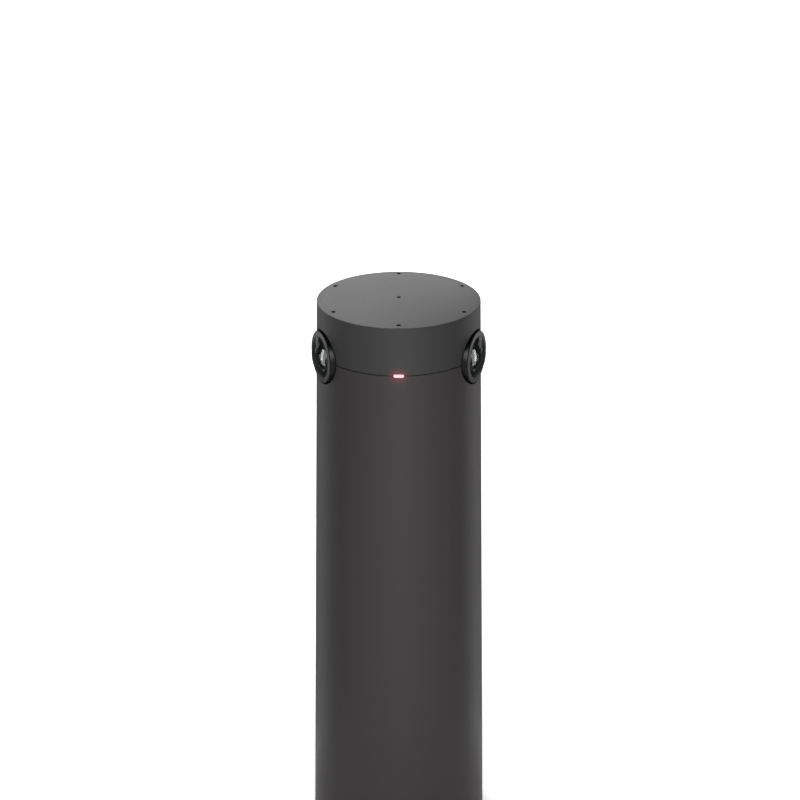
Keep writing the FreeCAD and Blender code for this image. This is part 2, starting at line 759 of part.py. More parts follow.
# Camera modules, one for each side, drawn along the lens axis
corner_spots = [(y, z) for y in (-module_screw_half, module_screw_half)
                for z in (-module_screw_half, module_screw_half)]
module_screws = []
for side in SIDES:
    lip_radius = ring_radius + ring_lip
    lip_front = ring_back + ring_lip_thickness
    node(side + "_lens_ring", turned(side, lathe([
        (ring_back, throat_radius),
        (ring_back, lip_radius),
        (lip_front, lip_radius),
        (lip_front, ring_radius),
        (ring_face - ring_chamfer, ring_radius),
        (ring_face, ring_radius - ring_chamfer),
        (ring_face + ring_crown, glass_radius + glass_play),
        (glass_seat, glass_radius + glass_play),
        (glass_seat, throat_radius),
    ], along="x")))
    hollow_apex = ring_face + dome_rise - glass_thickness
    node(side + "_front_glass", turned(side, lathe([
        (ring_face + dome_rise, 0),
        (glass_seat + glass_edge, glass_radius),
        (glass_seat, glass_radius),
        (glass_seat, hollow_radius),
        (hollow_apex, 0),
    ], arcs=(0, 3), along="x")))
    baffle_length = glass_seat - glass_play * 2 - barrel_front
    baffle_rise = (baffle_mouth - barrel_bore) / BAFFLE_STEPS
    baffle_run = baffle_length / BAFFLE_STEPS
    funnel = [(barrel_front, throat_radius - glass_play), (barrel_front, barrel_bore)]
    for step in range(BAFFLE_STEPS):
        leaned = barrel_front + baffle_run * (step + baffle_lean)
        funnel.append((leaned, barrel_bore + baffle_rise * step))
        funnel.append((barrel_front + baffle_run * (step + 1),
                       barrel_bore + baffle_rise * (step + 1)))
    funnel.append((barrel_front + baffle_length, throat_radius - glass_play))
    node(side + "_lens_baffle", turned(side, lathe(funnel, along="x")))
    node(side + "_lens_barrel", turned(side, lathe([
        (barrel_back, aperture_radius - small_lens_bulge),
        (barrel_back, barrel_radius),
        (barrel_head_back, barrel_radius),
        (barrel_head_back, barrel_head_radius),
        (barrel_front, barrel_head_radius),
        (barrel_front, barrel_bore + glass_play),
        (barrel_back + filter_web, barrel_bore + glass_play),
        (barrel_back + filter_web, aperture_radius - small_lens_bulge),
    ], along="x")))
    lens_room = barrel_front - (barrel_back + filter_web)
    small_lenses = []
    for step in range(SMALL_LENSES):
        back = barrel_back + filter_web + lens_room * small_lens_step * step
        small_lenses.append(lathe([
            (back, 0),
            (back, barrel_bore),
            (back + small_lens_edge, barrel_bore),
            (back + small_lens_edge + small_lens_bulge, 0),
        ], arcs=(2,), along="x"))
    node(side + "_inner_lenses", turned(side, *small_lenses))
    cup = lathe([
        (board_front, barrel_radius + play),
        (board_front, holder_outer),
        (ring_back - holder_flange_thickness, holder_outer),
        (ring_back - holder_flange_thickness, holder_outer + holder_flange),
        (ring_back, holder_outer + holder_flange),
        (ring_back, holder_outer - holder_wall),
        (holder_floor, holder_outer - holder_wall),
        (holder_floor, hub_radius),
        (hub_end, hub_radius),
        (hub_end, barrel_radius + play),
        (web_high, barrel_radius + play),
        (web_high, aperture_radius),
        (web_low, aperture_radius),
        (web_low, barrel_radius + play),
    ], along="x")
    plate_bore = rod("x", (0, 0), barrel_radius + play, board_front - play, holder_floor + play)
    plate = cut(block((board_front, -sensor_board_half, -sensor_board_half),
                      (holder_floor, sensor_board_half, sensor_board_half)), plate_bore)
    plate_holes = [rod("x", spot, board_screw_radius + play, board_front - play,
                       holder_floor + play) for spot in corner_spots]
    node(side + "_lens_holder", turned(side, cut(fuse(cup, plate), *plate_holes)))
    node(side + "_filter_glass", turned(side, rod("x", (0, 0), barrel_radius - glass_play,
                                                  web_low - filter_thickness, web_low)))
    node(side + "_image_sensor", turned(side, block(
        (board_front, -sensor_side / 2, -sensor_side / 2),
        (board_front + sensor_thickness, sensor_side / 2, sensor_side / 2))))
    board = block((board_back, -sensor_board_half, -sensor_board_half),
                  (board_front, sensor_board_half, sensor_board_half))
    board_holes = [rod("x", spot, board_screw_radius + play, board_back - play,
                       board_front + play) for spot in corner_spots]
    node(side + "_sensor_board", turned(side, cut(board, *board_holes)))
    shank = holder_floor - board_back + board_screw_bite
    module_screws.append(turned(side, *[screw("x", spot, holder_floor, -1, shank, "board")
                                        for spot in corner_spots]))

# Camera frame: two plates, a wall square to each lens axis, and an arm for the indicator
frame_disc_radius = skin(frame_floor_z) - shell_wall - shell_clearance
frame_solid = [rod("z", (0, 0), frame_disc_radius, frame_low_z, frame_floor_z),
               rod("z", (0, 0), frame_top_radius, frame_ceiling_z, frame_top_z)]
wall_low = frame_floor_z - play - seam_z
wall_high = frame_ceiling_z + play - seam_z
for side in SIDES:
    wall = block((module_back - frame_wall, -frame_half_width, wall_low),
                 (module_back, frame_half_width, wall_high))
    pads = [rod("x", spot, standoff_radius, module_back - play, board_back)
            for spot in corner_spots]
    frame_solid.append(turned(side, fuse(wall, *pads)))
arm_low_z = seam_z - led_board_half_height - socket_height
arm_high_z = arm_low_z + frame_margin
frame_solid.append(block((-frame_plate, -led_board_back, arm_low_z),
                         (frame_plate, -frame_half_width, arm_high_z)))
frame_solid.append(block((-led_board_half_width, -led_board_back, arm_low_z),
                         (led_board_half_width, frame_wall - led_board_back,
                          arm_low_z + led_board_half_height)))
frame_cutters = [rod("z", spot, case_screw_radius + play, frame_ceiling_z - play,
                     frame_top_z + play) for spot in post_spots]
flex_gap = mic_flex_half_width + ring_clearance
frame_cutters.append(block((-flex_gap, -flex_gap - mic_flex_plane, frame_ceiling_z - frame_margin),
                           (flex_gap, flex_gap, frame_top_z + play)))
frame_cutters.append(block((-cable_hole_half, -cable_hole_reach, frame_low_z - play),
                           (cable_hole_half, mic_flex_half_width, frame_floor_z + play)))
chassis_rear_screw_y = chassis_rear_y - standoff_end / 2
chassis_front_screw_y = chassis_back + standoff_end / 2
chassis_top_spots = [(x, y) for x in (-chassis_screw_x, chassis_screw_x)
                     for y in (chassis_front_screw_y, chassis_rear_screw_y)]
frame_cutters += [rod("z", spot, case_screw_radius + play, frame_low_z - play, frame_floor_z + play)
                  for spot in chassis_top_spots]
for side in SIDES:
    pilots = [rod("x", spot, board_screw_radius + play,
                  board_back - board_screw_bite - tip_room, board_back + play)
              for spot in corner_spots]
    plug_low = -cable_drop - plug_half - cutout_clearance
    plug_high = plug_half + cutout_clearance - cable_drop
    window_middle = cable_offset * FRONTWARD[side]
    window_half = plug_half + ring_clearance
    window = block((module_back - frame_wall - play, window_middle - window_half, plug_low),
                   (module_back + play, window_middle + window_half, plug_high))
    frame_cutters.append(turned(side, fuse(window, *pilots)))
node("camera_frame", cut(fuse(*frame_solid), *frame_cutters))


def bent(points, bend, section_at):
    """A section swept along straight runs joined by tangent arcs of one radius."""
    corners = [Vec(*[number(part) for part in point]) for point in points]
    edges = []
    start = corners[0]
    radius = number(bend)
    for before, corner, after in zip(corners, corners[1:], corners[2:]):
        arriving = (corner - before).normalize()
        leaving = (after - corner).normalize()
        turn = arriving.getAngle(leaving)
        reach = radius * math.tan(turn / 2)
        touch = corner - arriving * reach
        release = corner + leaving * reach
        inward = (leaving - arriving).normalize()
        middle = corner + inward * (radius / math.cos(turn / 2) - radius)
        edges.append(Part.LineSegment(start, touch).toShape())
        edges.append(Part.Arc(touch, middle, release).toShape())
        start = release
    edges.append(Part.LineSegment(start, corners[-1]).toShape())
    path = Part.Wire(edges)
    solid = path.makePipeShell([section_at(corners)], True, False)
    return solid, path.Length


def round_section(corners):
    """A circle of the cable's radius, square to the first run."""
    circle = Part.Circle(corners[0], corners[1] - corners[0], number(cable_radius))
    return Part.Wire([circle.toShape()])


def flat_section(corners):
    """A thin rectangle across X, at the start of a run along Z."""
    wide = Vec(number(input_flex_half_width), 0, 0)
    thin = Vec(0, number(flex_thickness) / 2, 0)
    first = corners[0]
    ring = [first - wide - thin, first + wide - thin, first + wide + thin, first - wide + thin]
    return Part.makePolygon(ring + ring[:1])


def swept_feature(name, points, bend, section_at, area):
    solid, length = bent(points, bend, section_at)
    expected = length * area
    assert abs(solid.Volume - expected) < expected * SWEEP_TOLERANCE, name
    thing = doc.addObject("Part::Feature", name)
    thing.Shape = solid
    thing.Placement = FreeCAD.Placement()
    return thing


# Camera cables: from the plug on each sensor board, down through the frame, to the mainboard
camera_socket_z = mainboard_top_z - camera_socket_drop
camera_socket_face = mainboard_face - camera_socket_height
cable_height = seam_z - cable_drop
plug_back = module_back - plug_stand
cable_area = math.pi * number(cable_radius) ** 2
camera_socket_spots = []
for side in SIDES:
    start_x, start_y = module_point(side, plug_back + tip_room, -cable_offset)
    turn_x, turn_y = module_point(side, cable_plane, -cable_offset)
    camera_socket_spots.append(turn_x)
    points = [(start_x, start_y, cable_height), (turn_x, turn_y, cable_height),
              (turn_x, turn_y, camera_socket_z), (turn_x, camera_socket_face, camera_socket_z)]
    tube = swept_feature(side + "_cable_tube", points, cable_bend, round_section, cable_area)
    plug_middle = cable_offset * FRONTWARD[side]
    plug = turned(side, block((plug_back, plug_middle - plug_half, -cable_drop - plug_half),
                              (board_back, plug_middle + plug_half, plug_half - cable_drop)))
    node(side + "_camera_cable", fuse(tube, plug))

# Chassis: a plate from the ballast to the frame, a flange back at its top and forward at its foot
chassis_bar = pad("YZ_Plane", [
    (chassis_face, chassis_foot_z),
    (chassis_back - chassis_foot_reach, chassis_foot_z),
    (chassis_back - chassis_foot_reach, ballast_top_z),
    (chassis_back, ballast_top_z),
    (chassis_back, chassis_top_z),
    (chassis_rear_y, chassis_top_z),
    (chassis_rear_y, frame_low_z),
    (chassis_face, frame_low_z),
], chassis_half_width * 2, -chassis_half_width)
flange_sides = ((-chassis_half_width - play, -chassis_foot_half_width),
                (chassis_foot_half_width, chassis_half_width + play))
chassis_cutters = [block((low_x, chassis_back - chassis_foot_reach - play, ballast_top_z - play),
                         (high_x, chassis_face, chassis_foot_z + play))
                   for low_x, high_x in flange_sides]
chassis_cutters += [block((low_x, chassis_back, chassis_top_z - play),
                          (high_x, chassis_rear_y + play, frame_low_z + play))
                    for low_x, high_x in flange_sides]
foot_screw_front = chassis_back - chassis_foot_reach + foot_screw_inset
foot_screw_rear = chassis_face - standoff_radius
foot_screw_spots = [(x, y) for x in (-chassis_screw_x, chassis_screw_x)
                    for y in (foot_screw_front, foot_screw_rear)]
base_screw_spots = [polar(base_screw_circle, angle) for angle in BASE_SCREW_ANGLES]
standoff_x = mainboard_half_width - standoff_inset
standoff_heights = [mainboard_low_z + standoff_end, (mainboard_low_z + mainboard_top_z) / 2,
                    mainboard_top_z - standoff_end]
standoff_spots = [(x, z) for x in (-standoff_x, standoff_x) for z in standoff_heights]
sink_low_z = mainboard_low_z + sink_low_margin
sink_high_z = mainboard_top_z - sink_high_margin
sink_screw_spots = [(x, z) for x in (sink_screw_inset - sink_half_width,
                                     sink_half_width - sink_screw_inset)
                    for z in (sink_low_z + sink_screw_inset, sink_high_z - sink_screw_inset)]
flex_run_z = input_top_z + standoff_end
chassis_cutters += [rod("z", spot, case_screw_radius + play, chassis_top_z - play,
                        frame_low_z + play) for spot in chassis_top_spots]
chassis_cutters += [rod("z", spot, case_screw_radius + play, ballast_top_z - play,
                        chassis_foot_z + play) for spot in foot_screw_spots]
chassis_cutters += [rod("y", spot, board_screw_radius + play, chassis_face - play,
                        chassis_back + play) for spot in standoff_spots]
chassis_cutters += [rod("y", spot, case_screw_radius + play, chassis_face - play,
                        chassis_back + play) for spot in sink_screw_spots]
chassis_cutters.append(block((-input_flex_half_width - ring_clearance, chassis_face - play,
                              flex_run_z - flex_bend),
                             (input_flex_half_width + ring_clearance, chassis_back + play,
                              flex_run_z + flex_bend)))
node("chassis", cut(chassis_bar, *chassis_cutters))

# Heat sink: a ribbed extrusion on the back of the chassis
sink_plate = block((-sink_half_width, chassis_back, sink_low_z),
                   (sink_half_width, chassis_back + sink_base, sink_high_z))
fin_pitch = (sink_half_width * 2 - fin_thickness) / (FIN_COUNT - 1)
fins = []
for index in range(FIN_COUNT):
    fin_x = fin_pitch * index - sink_half_width
    fins.append(block((fin_x, chassis_back + sink_base - play, sink_low_z),
                      (fin_x + fin_thickness, chassis_back + sink_base + fin_height, sink_high_z)))
sink_pilots = [rod("y", spot, case_screw_radius + play, chassis_back - play,
                   chassis_back + sink_base - tip_room) for spot in sink_screw_spots]
node("heat_sink", cut(fuse(sink_plate, *fins), *sink_pilots))

# Mainboard and what it carries
main_plate = block((-mainboard_half_width, mainboard_face, mainboard_low_z),
                   (mainboard_half_width, mainboard_back, mainboard_top_z))
main_holes = [rod("y", spot, board_screw_radius + play, mainboard_face - play,
                  mainboard_back + play) for spot in standoff_spots]
node("mainboard", cut(main_plate, *main_holes))
processor_z = mainboard_top_z - processor_drop
processor_back = mainboard_back + processor_height
node("processor", block((-processor_half, mainboard_back, processor_z - processor_half),
                        (processor_half, processor_back, processor_z + processor_half)))
node("thermal_pad", block((-thermal_pad_half, processor_back, processor_z - thermal_pad_half),
                          (thermal_pad_half, chassis_face, processor_z + thermal_pad_half)))
memory = []
for sign in (-1, 1):
    near = thermal_pad_half + memory_gap
    far = near + memory_width
    low_x, high_x = (near, far) if sign > 0 else (-far, -near)
    for low_z in (processor_z + memory_gap / 2, processor_z - memory_gap / 2 - memory_length):
        memory.append(block((low_x, mainboard_back, low_z),
                            (high_x, mainboard_back + memory_height, low_z + memory_length)))
node("memory_chips", group(*memory))
shield_high_z = mainboard_top_z - shield_drop
shield_low_z = shield_high_z - shield_length
shield_front = mainboard_face - shield_height
node("shield_can", cut(
    block((-shield_half_width, shield_front, shield_low_z),
          (shield_half_width, mainboard_face, shield_high_z)),
    block((shield_wall - shield_half_width, shield_front + shield_wall, shield_low_z + shield_wall),
          (shield_half_width - shield_wall, mainboard_face + play, shield_high_z - shield_wall))))
audio_z = (shield_low_z + shield_high_z) / 2
node("audio_processor", block((-audio_half, mainboard_face - audio_height, audio_z - audio_half),
                              (audio_half, mainboard_face, audio_z + audio_half)))
transformer_low_z = mainboard_low_z + transformer_lift
power_parts = [block((transformer_edge, mainboard_face - transformer_height, transformer_low_z),
                     (transformer_edge + transformer_width, mainboard_face,
                      transformer_low_z + transformer_length))]
coil_low_z = mainboard_low_z + coil_lift
for index in range(COIL_COUNT):
    coil_x = coil_edge + coil_pitch * index
    power_parts.append(block((coil_x, mainboard_face - coil_height, coil_low_z),
                             (coil_x + coil_side, mainboard_face, coil_low_z + coil_side)))
for index in range(CAPACITOR_COUNT):
    capacitor_x = capacitor_edge + capacitor_pitch * index
    power_parts.append(rod("y", (capacitor_x, mainboard_low_z + capacitor_lift), capacitor_radius,
                           mainboard_face - capacitor_height, mainboard_face))
node("power_parts", group(*power_parts))
spacer_ring = [cut(rod("y", spot, standoff_radius, mainboard_back, chassis_face),
                   rod("y", spot, board_screw_radius + play, mainboard_back - play,
                       chassis_face + play)) for spot in standoff_spots]

# Base plate, ballast, foot and tripod insert
core_radius = skin(base_top_z) - shell_wall - shell_clearance
flange_radius = skin(base_low_z) - base_step
foot_outer = flange_radius - foot_inset
foot_inner = foot_outer - foot_width
groove_top_z = base_low_z + foot_groove
insert_top_z = ballast_top_z - insert_cover
boss_radius = insert_radius + boss_wall
base_disc = lathe([
    (0, base_low_z),
    (foot_inner - play, base_low_z),
    (foot_inner - play, groove_top_z),
    (foot_outer + play, groove_top_z),
    (foot_outer + play, base_low_z),
    (flange_radius, base_low_z),
    (flange_radius, sleeve_low_z),
    (core_radius, sleeve_low_z),
    (core_radius, base_top_z),
    (boss_radius, base_top_z),
    (boss_radius, insert_top_z + insert_cover / 2),
    (0, insert_top_z + insert_cover / 2),
])
insert_hole = rod("z", (0, 0), insert_radius + play, base_low_z - play, insert_top_z + play)
head_seat_z = base_low_z + base_head_recess + base_head_height
base_holes = [rod("z", spot, base_screw_radius + play, base_low_z - play, base_top_z + play)
              for spot in base_screw_spots]
base_holes += [rod("z", spot, base_head_radius + head_clearance, base_low_z - play, head_seat_z)
               for spot in base_screw_spots]
node("base_plate", cut(base_disc, insert_hole, *base_holes))
node("foot_ring", lathe([
    (foot_inner + foot_chamfer, 0),
    (foot_outer - foot_chamfer, 0),
    (foot_outer, foot_chamfer),
    (foot_outer, groove_top_z),
    (foot_inner, groove_top_z),
    (foot_inner, foot_chamfer),
]))
node("tripod_insert", cut(rod("z", (0, 0), insert_radius, base_low_z + play * 2, insert_top_z),
                          rod("z", (0, 0), thread_radius, base_low_z, insert_top_z + play)))
ballast_radius = skin(base_top_z) - shell_wall - ballast_inset
base_tip_z = ballast_top_z - base_core / 2
ballast_holes = [rod("z", spot, base_screw_radius + play, base_top_z - play, base_tip_z + tip_room)
                 for spot in base_screw_spots]
ballast_holes += [rod("z", spot, case_screw_radius + play,
                      ballast_top_z - case_screw_bite - tip_room, ballast_top_z + play)
                  for spot in foot_screw_spots]
input_screw_front = input_front_y + input_screw_inset
input_screw_spots = [(x, y) for x in (-input_screw_x, input_screw_x)
                     for y in (input_screw_front, input_screw_front + input_screw_spacing)]
ballast_holes += [rod("z", spot, board_screw_radius + play, ballast_top_z - standoff_height,
                      ballast_top_z + play) for spot in input_screw_spots]
ballast_holes.append(rod("z", (0, 0), boss_radius + boss_clearance, base_top_z - play,
                         ballast_top_z + play))
node("ballast_weight", cut(rod("z", (0, 0), ballast_radius, base_top_z, ballast_top_z),
                           *ballast_holes))

# Port panel: a box-shaped bezel behind the window in the sleeve
bezel_half = recess_half_width + recess_rim
bezel_high_z = recess_high_z + recess_rim
bezel_radius = skin(bezel_high_z) - shell_wall - shell_clearance
jack_low_x = jack_centre - jack_width / 2
jack_high_x = jack_centre + jack_width / 2
data_centre_z = input_top_z + data_height / 2
button_z = input_top_z + button_height
panel_body = shared(block((-bezel_half, panel_back_y, ballast_top_z),
                          (bezel_half, BEYOND, bezel_high_z)),
                    rod("z", (0, 0), bezel_radius, base_low_z, bezel_high_z + play))
jack_hole = block((jack_low_x - glass_play, panel_back_y - play, input_low_z - glass_play),
                  (jack_high_x + glass_play, panel_y + play,
                   input_top_z + jack_height + glass_play))
data_hole = pill("y", (data_centre, data_centre_z), data_width / 2 + glass_play,
                 data_height / 2 + glass_play, panel_back_y - play, panel_y + play)
button_hole = rod("y", (button_centre, button_z), button_radius + button_play,
                  panel_back_y - play, panel_y + play)
node("port_panel", cut(panel_body, port_window, jack_hole, data_hole, button_hole))

# Input board with its sockets, the reset switch and the button
input_plate = block((-input_board_half_width, input_front_y, input_low_z),
                    (input_board_half_width, board_edge_y, input_top_z))
input_holes = [rod("z", spot, board_screw_radius + play, input_low_z - play, input_top_z + play)
               for spot in input_screw_spots]
node("input_board", cut(input_plate, *input_holes))
input_spacers = [cut(rod("z", spot, standoff_radius, ballast_top_z, input_low_z),
                     rod("z", spot, board_screw_radius + play, ballast_top_z - play,
                         input_low_z + play)) for spot in input_screw_spots]
node("board_standoffs", group(*spacer_ring, *input_spacers))
mouth_low_z = input_top_z + jack_mouth_floor
mouth_high_z = mouth_low_z + jack_mouth_height
jack_mouth = block((jack_centre - jack_mouth_width / 2, socket_face_y - jack_mouth_depth, mouth_low_z),
                   (jack_centre + jack_mouth_width / 2, socket_face_y + play, mouth_high_z))
jack_latch = block((jack_centre - jack_latch_width / 2, socket_face_y - jack_mouth_depth,
                    mouth_high_z - play),
                   (jack_centre + jack_latch_width / 2, socket_face_y + play,
                    mouth_high_z + jack_latch_height))
node("network_jack", cut(block((jack_low_x, socket_face_y - jack_depth, input_top_z),
                               (jack_high_x, socket_face_y, input_top_z + jack_height)),
                         jack_mouth, jack_latch))
data_back_y = socket_face_y - data_depth
data_shell_bar = pill("y", (data_centre, data_centre_z), data_width / 2, data_height / 2,
                      data_back_y, socket_face_y)
data_cavity = pill("y", (data_centre, data_centre_z), data_width / 2 - data_shell,
                   data_height / 2 - data_shell, data_back_y + data_floor,
                   socket_face_y + play)
data_tongue = block((data_centre - data_tongue_width / 2, data_back_y + data_shell,
                     data_centre_z - data_tongue_thickness / 2),
                    (data_centre + data_tongue_width / 2, socket_face_y - data_tongue_setback,
                     data_centre_z + data_tongue_thickness / 2))
node("data_socket", fuse(cut(data_shell_bar, data_cavity), data_tongue))
flange_rear_y = panel_back_y - play
flange_front_y = flange_rear_y - button_flange_thickness
switch_face_y = flange_front_y - button_travel - tip_room
switch_back_y = switch_face_y - switch_depth
switch_hole_y = switch_face_y - button_travel - stem_room
node("reset_switch", cut(
    block((button_centre - switch_width / 2, switch_back_y, input_top_z),
          (button_centre + switch_width / 2, switch_face_y, input_top_z + switch_height)),
    rod("y", (button_centre, button_z), stem_radius + button_play, switch_hole_y,
        switch_face_y + play)))
node("reset_button", fuse(
    rod("y", (button_centre, button_z), button_radius, flange_rear_y - play,
        panel_y + button_proud),
    rod("y", (button_centre, button_z), button_radius + button_flange, flange_front_y,
        flange_rear_y),
    rod("y", (button_centre, button_z), stem_radius, switch_face_y - stem_entry,
        flange_front_y + play)))

# Board sockets and the flexes between the boards
mic_socket_front = -mic_flex_plane - socket_height / 2
mic_socket_half = mic_flex_half_width + ring_clearance
mic_socket_high_z = mainboard_top_z - mic_socket_drop
input_socket_low_z = mainboard_low_z + input_socket_lift
input_socket_y = input_front_y + socket_height
flex_path_y = mainboard_face - socket_height / 2
flex_start_z = input_top_z + socket_length / 2
input_socket_half = input_flex_half_width + ring_clearance
sockets = [
    block((-mic_socket_half, mic_socket_front, mic_board_low_z - socket_height),
          (mic_socket_half, mic_socket_front + socket_height, mic_board_low_z)),
    block((-mic_socket_half, mic_socket_front, mic_socket_high_z - socket_length),
          (mic_socket_half, mainboard_face, mic_socket_high_z)),
    block((-input_socket_half, mainboard_face - socket_height, input_socket_low_z),
          (input_socket_half, mainboard_face, input_socket_low_z + socket_length)),
    block((-input_socket_half, input_socket_y - socket_height / 2, input_top_z),
          (input_socket_half, input_socket_y + socket_height / 2, flex_start_z)),
]
for centre_x in camera_socket_spots:
    sockets.append(block((centre_x - plug_half, camera_socket_face, camera_socket_z - plug_half),
                         (centre_x + plug_half, mainboard_face, camera_socket_z + plug_half)))
node("board_sockets", group(*sockets))
node("mic_flex", block((-mic_flex_half_width, -mic_flex_plane - flex_thickness / 2,
                        mic_socket_high_z),
                       (mic_flex_half_width, flex_thickness / 2 - mic_flex_plane,
                        mic_board_low_z - socket_height)))
flex_area = number(input_flex_half_width) * 2 * number(flex_thickness)
node("input_flex", swept_feature("input_flex_strip", [
    (0, input_socket_y, flex_start_z),
    (0, input_socket_y, flex_run_z),
    (0, flex_path_y, flex_run_z),
    (0, flex_path_y, input_socket_low_z),
], flex_bend, flat_section, flex_area))

# Screws
board_screws = list(module_screws)
for spot in mic_screw_spots:
    board_screws.append(screw("z", spot, mic_board_low_z, 1,
                              small_board_thickness + board_screw_bite, "board"))
for spot in standoff_spots:
    board_screws.append(screw("y", spot, mainboard_face, 1,
                              main_board_thickness + standoff_height + board_screw_bite, "board"))
for spot in input_screw_spots:
    board_screws.append(screw("z", spot, input_top_z, -1,
                              main_board_thickness + input_lift + board_screw_bite, "board"))
node("board_screws", group(*board_screws))
case_screws = [screw("z", spot, frame_ceiling_z, 1, frame_top_wall + case_screw_bite)
               for spot in post_spots]
case_screws += [screw("z", spot, chassis_top_z, 1, chassis_wall + frame_plate - tip_room)
                for spot in chassis_top_spots]
case_screws += [screw("z", spot, chassis_foot_z, -1, chassis_wall + case_screw_bite)
                for spot in foot_screw_spots]
case_screws += [screw("y", spot, chassis_face, 1, chassis_wall + sink_base - tip_room * 2)
                for spot in sink_screw_spots]
node("case_screws", group(*case_screws))
base_shank = base_tip_z - head_seat_z
node("base_screws", group(*[screw("z", spot, head_seat_z, 1, base_shank, "base")
                            for spot in base_screw_spots]))

doc.recompute()
faults = [item.Name for item in doc.Objects if "Invalid" in item.State or "Error" in item.State]
assert not faults, faults
for name, thing in nodes.items():
    shape = thing.Shape
    assert not shape.isNull() and shape.isValid(), name
    assert shape.Solids and shape.Volume > 0, name
for name, thing in nodes.items():
    thing.Shape.exportStep("parts/%s.step" % name)
    print("%-22s %3d solids %10.1f mm3" % (name, len(thing.Shape.Solids), thing.Shape.Volume))
print(len(nodes), "nodes")
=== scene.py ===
# Conference camera: the looks of every piece, its camera, lamps and floor.
# Metres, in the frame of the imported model: origin under the foot, +Z up, the indicator faces -Y.
import json
import math

import bmesh
import bpy
from mathutils import Matrix, Vector

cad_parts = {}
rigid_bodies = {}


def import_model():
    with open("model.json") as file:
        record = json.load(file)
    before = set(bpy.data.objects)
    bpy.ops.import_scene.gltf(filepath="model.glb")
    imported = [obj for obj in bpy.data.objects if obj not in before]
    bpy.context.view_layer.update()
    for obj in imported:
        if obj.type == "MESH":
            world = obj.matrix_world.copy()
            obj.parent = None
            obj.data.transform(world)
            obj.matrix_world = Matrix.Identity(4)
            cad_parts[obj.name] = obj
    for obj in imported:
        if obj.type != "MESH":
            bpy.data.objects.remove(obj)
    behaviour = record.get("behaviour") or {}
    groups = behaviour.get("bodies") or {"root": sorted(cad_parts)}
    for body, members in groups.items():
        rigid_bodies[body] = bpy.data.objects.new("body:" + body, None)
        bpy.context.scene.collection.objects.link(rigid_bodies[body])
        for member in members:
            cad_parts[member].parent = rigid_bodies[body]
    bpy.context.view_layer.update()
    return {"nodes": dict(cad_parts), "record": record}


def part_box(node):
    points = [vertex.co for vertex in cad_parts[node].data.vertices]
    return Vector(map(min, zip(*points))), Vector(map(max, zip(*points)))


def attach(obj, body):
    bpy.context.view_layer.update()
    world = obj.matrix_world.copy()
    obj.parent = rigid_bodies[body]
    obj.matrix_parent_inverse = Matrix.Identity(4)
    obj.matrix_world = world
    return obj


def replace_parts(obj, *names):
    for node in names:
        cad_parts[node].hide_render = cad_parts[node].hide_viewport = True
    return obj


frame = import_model()
nodes = frame["nodes"]

MM = 0.001
COLUMN = "column"
SIDES = {"left": -1, "right": 1}
LENS_TURN = math.radians(22.5)
UPWARD = Vector((0, 0, 1))
BACKWARD = Vector((0, 1, 0))
ORIGIN = Vector((0, 0, 0))


# Places read from the frame
def lens_axis(side):
    """The way a lens looks: straight out from its side, turned a little to the front."""
    return Vector((SIDES[side] * math.cos(LENS_TURN), -math.sin(LENS_TURN), 0))


cap_low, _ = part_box("head_cap")
_, sleeve_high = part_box("body_sleeve")
pipe_low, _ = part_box("light_pipe")
SEAM_Z = (cap_low.z + sleeve_high.z) / 2
INDICATOR = Vector((0, pipe_low.y, SEAM_Z))
SEAM_CENTRE = Vector((0, 0, SEAM_Z))


# Shader groups: each effect is built once and placed in the materials that use it
FLOAT = "NodeSocketFloat"
VECTOR = "NodeSocketVector"


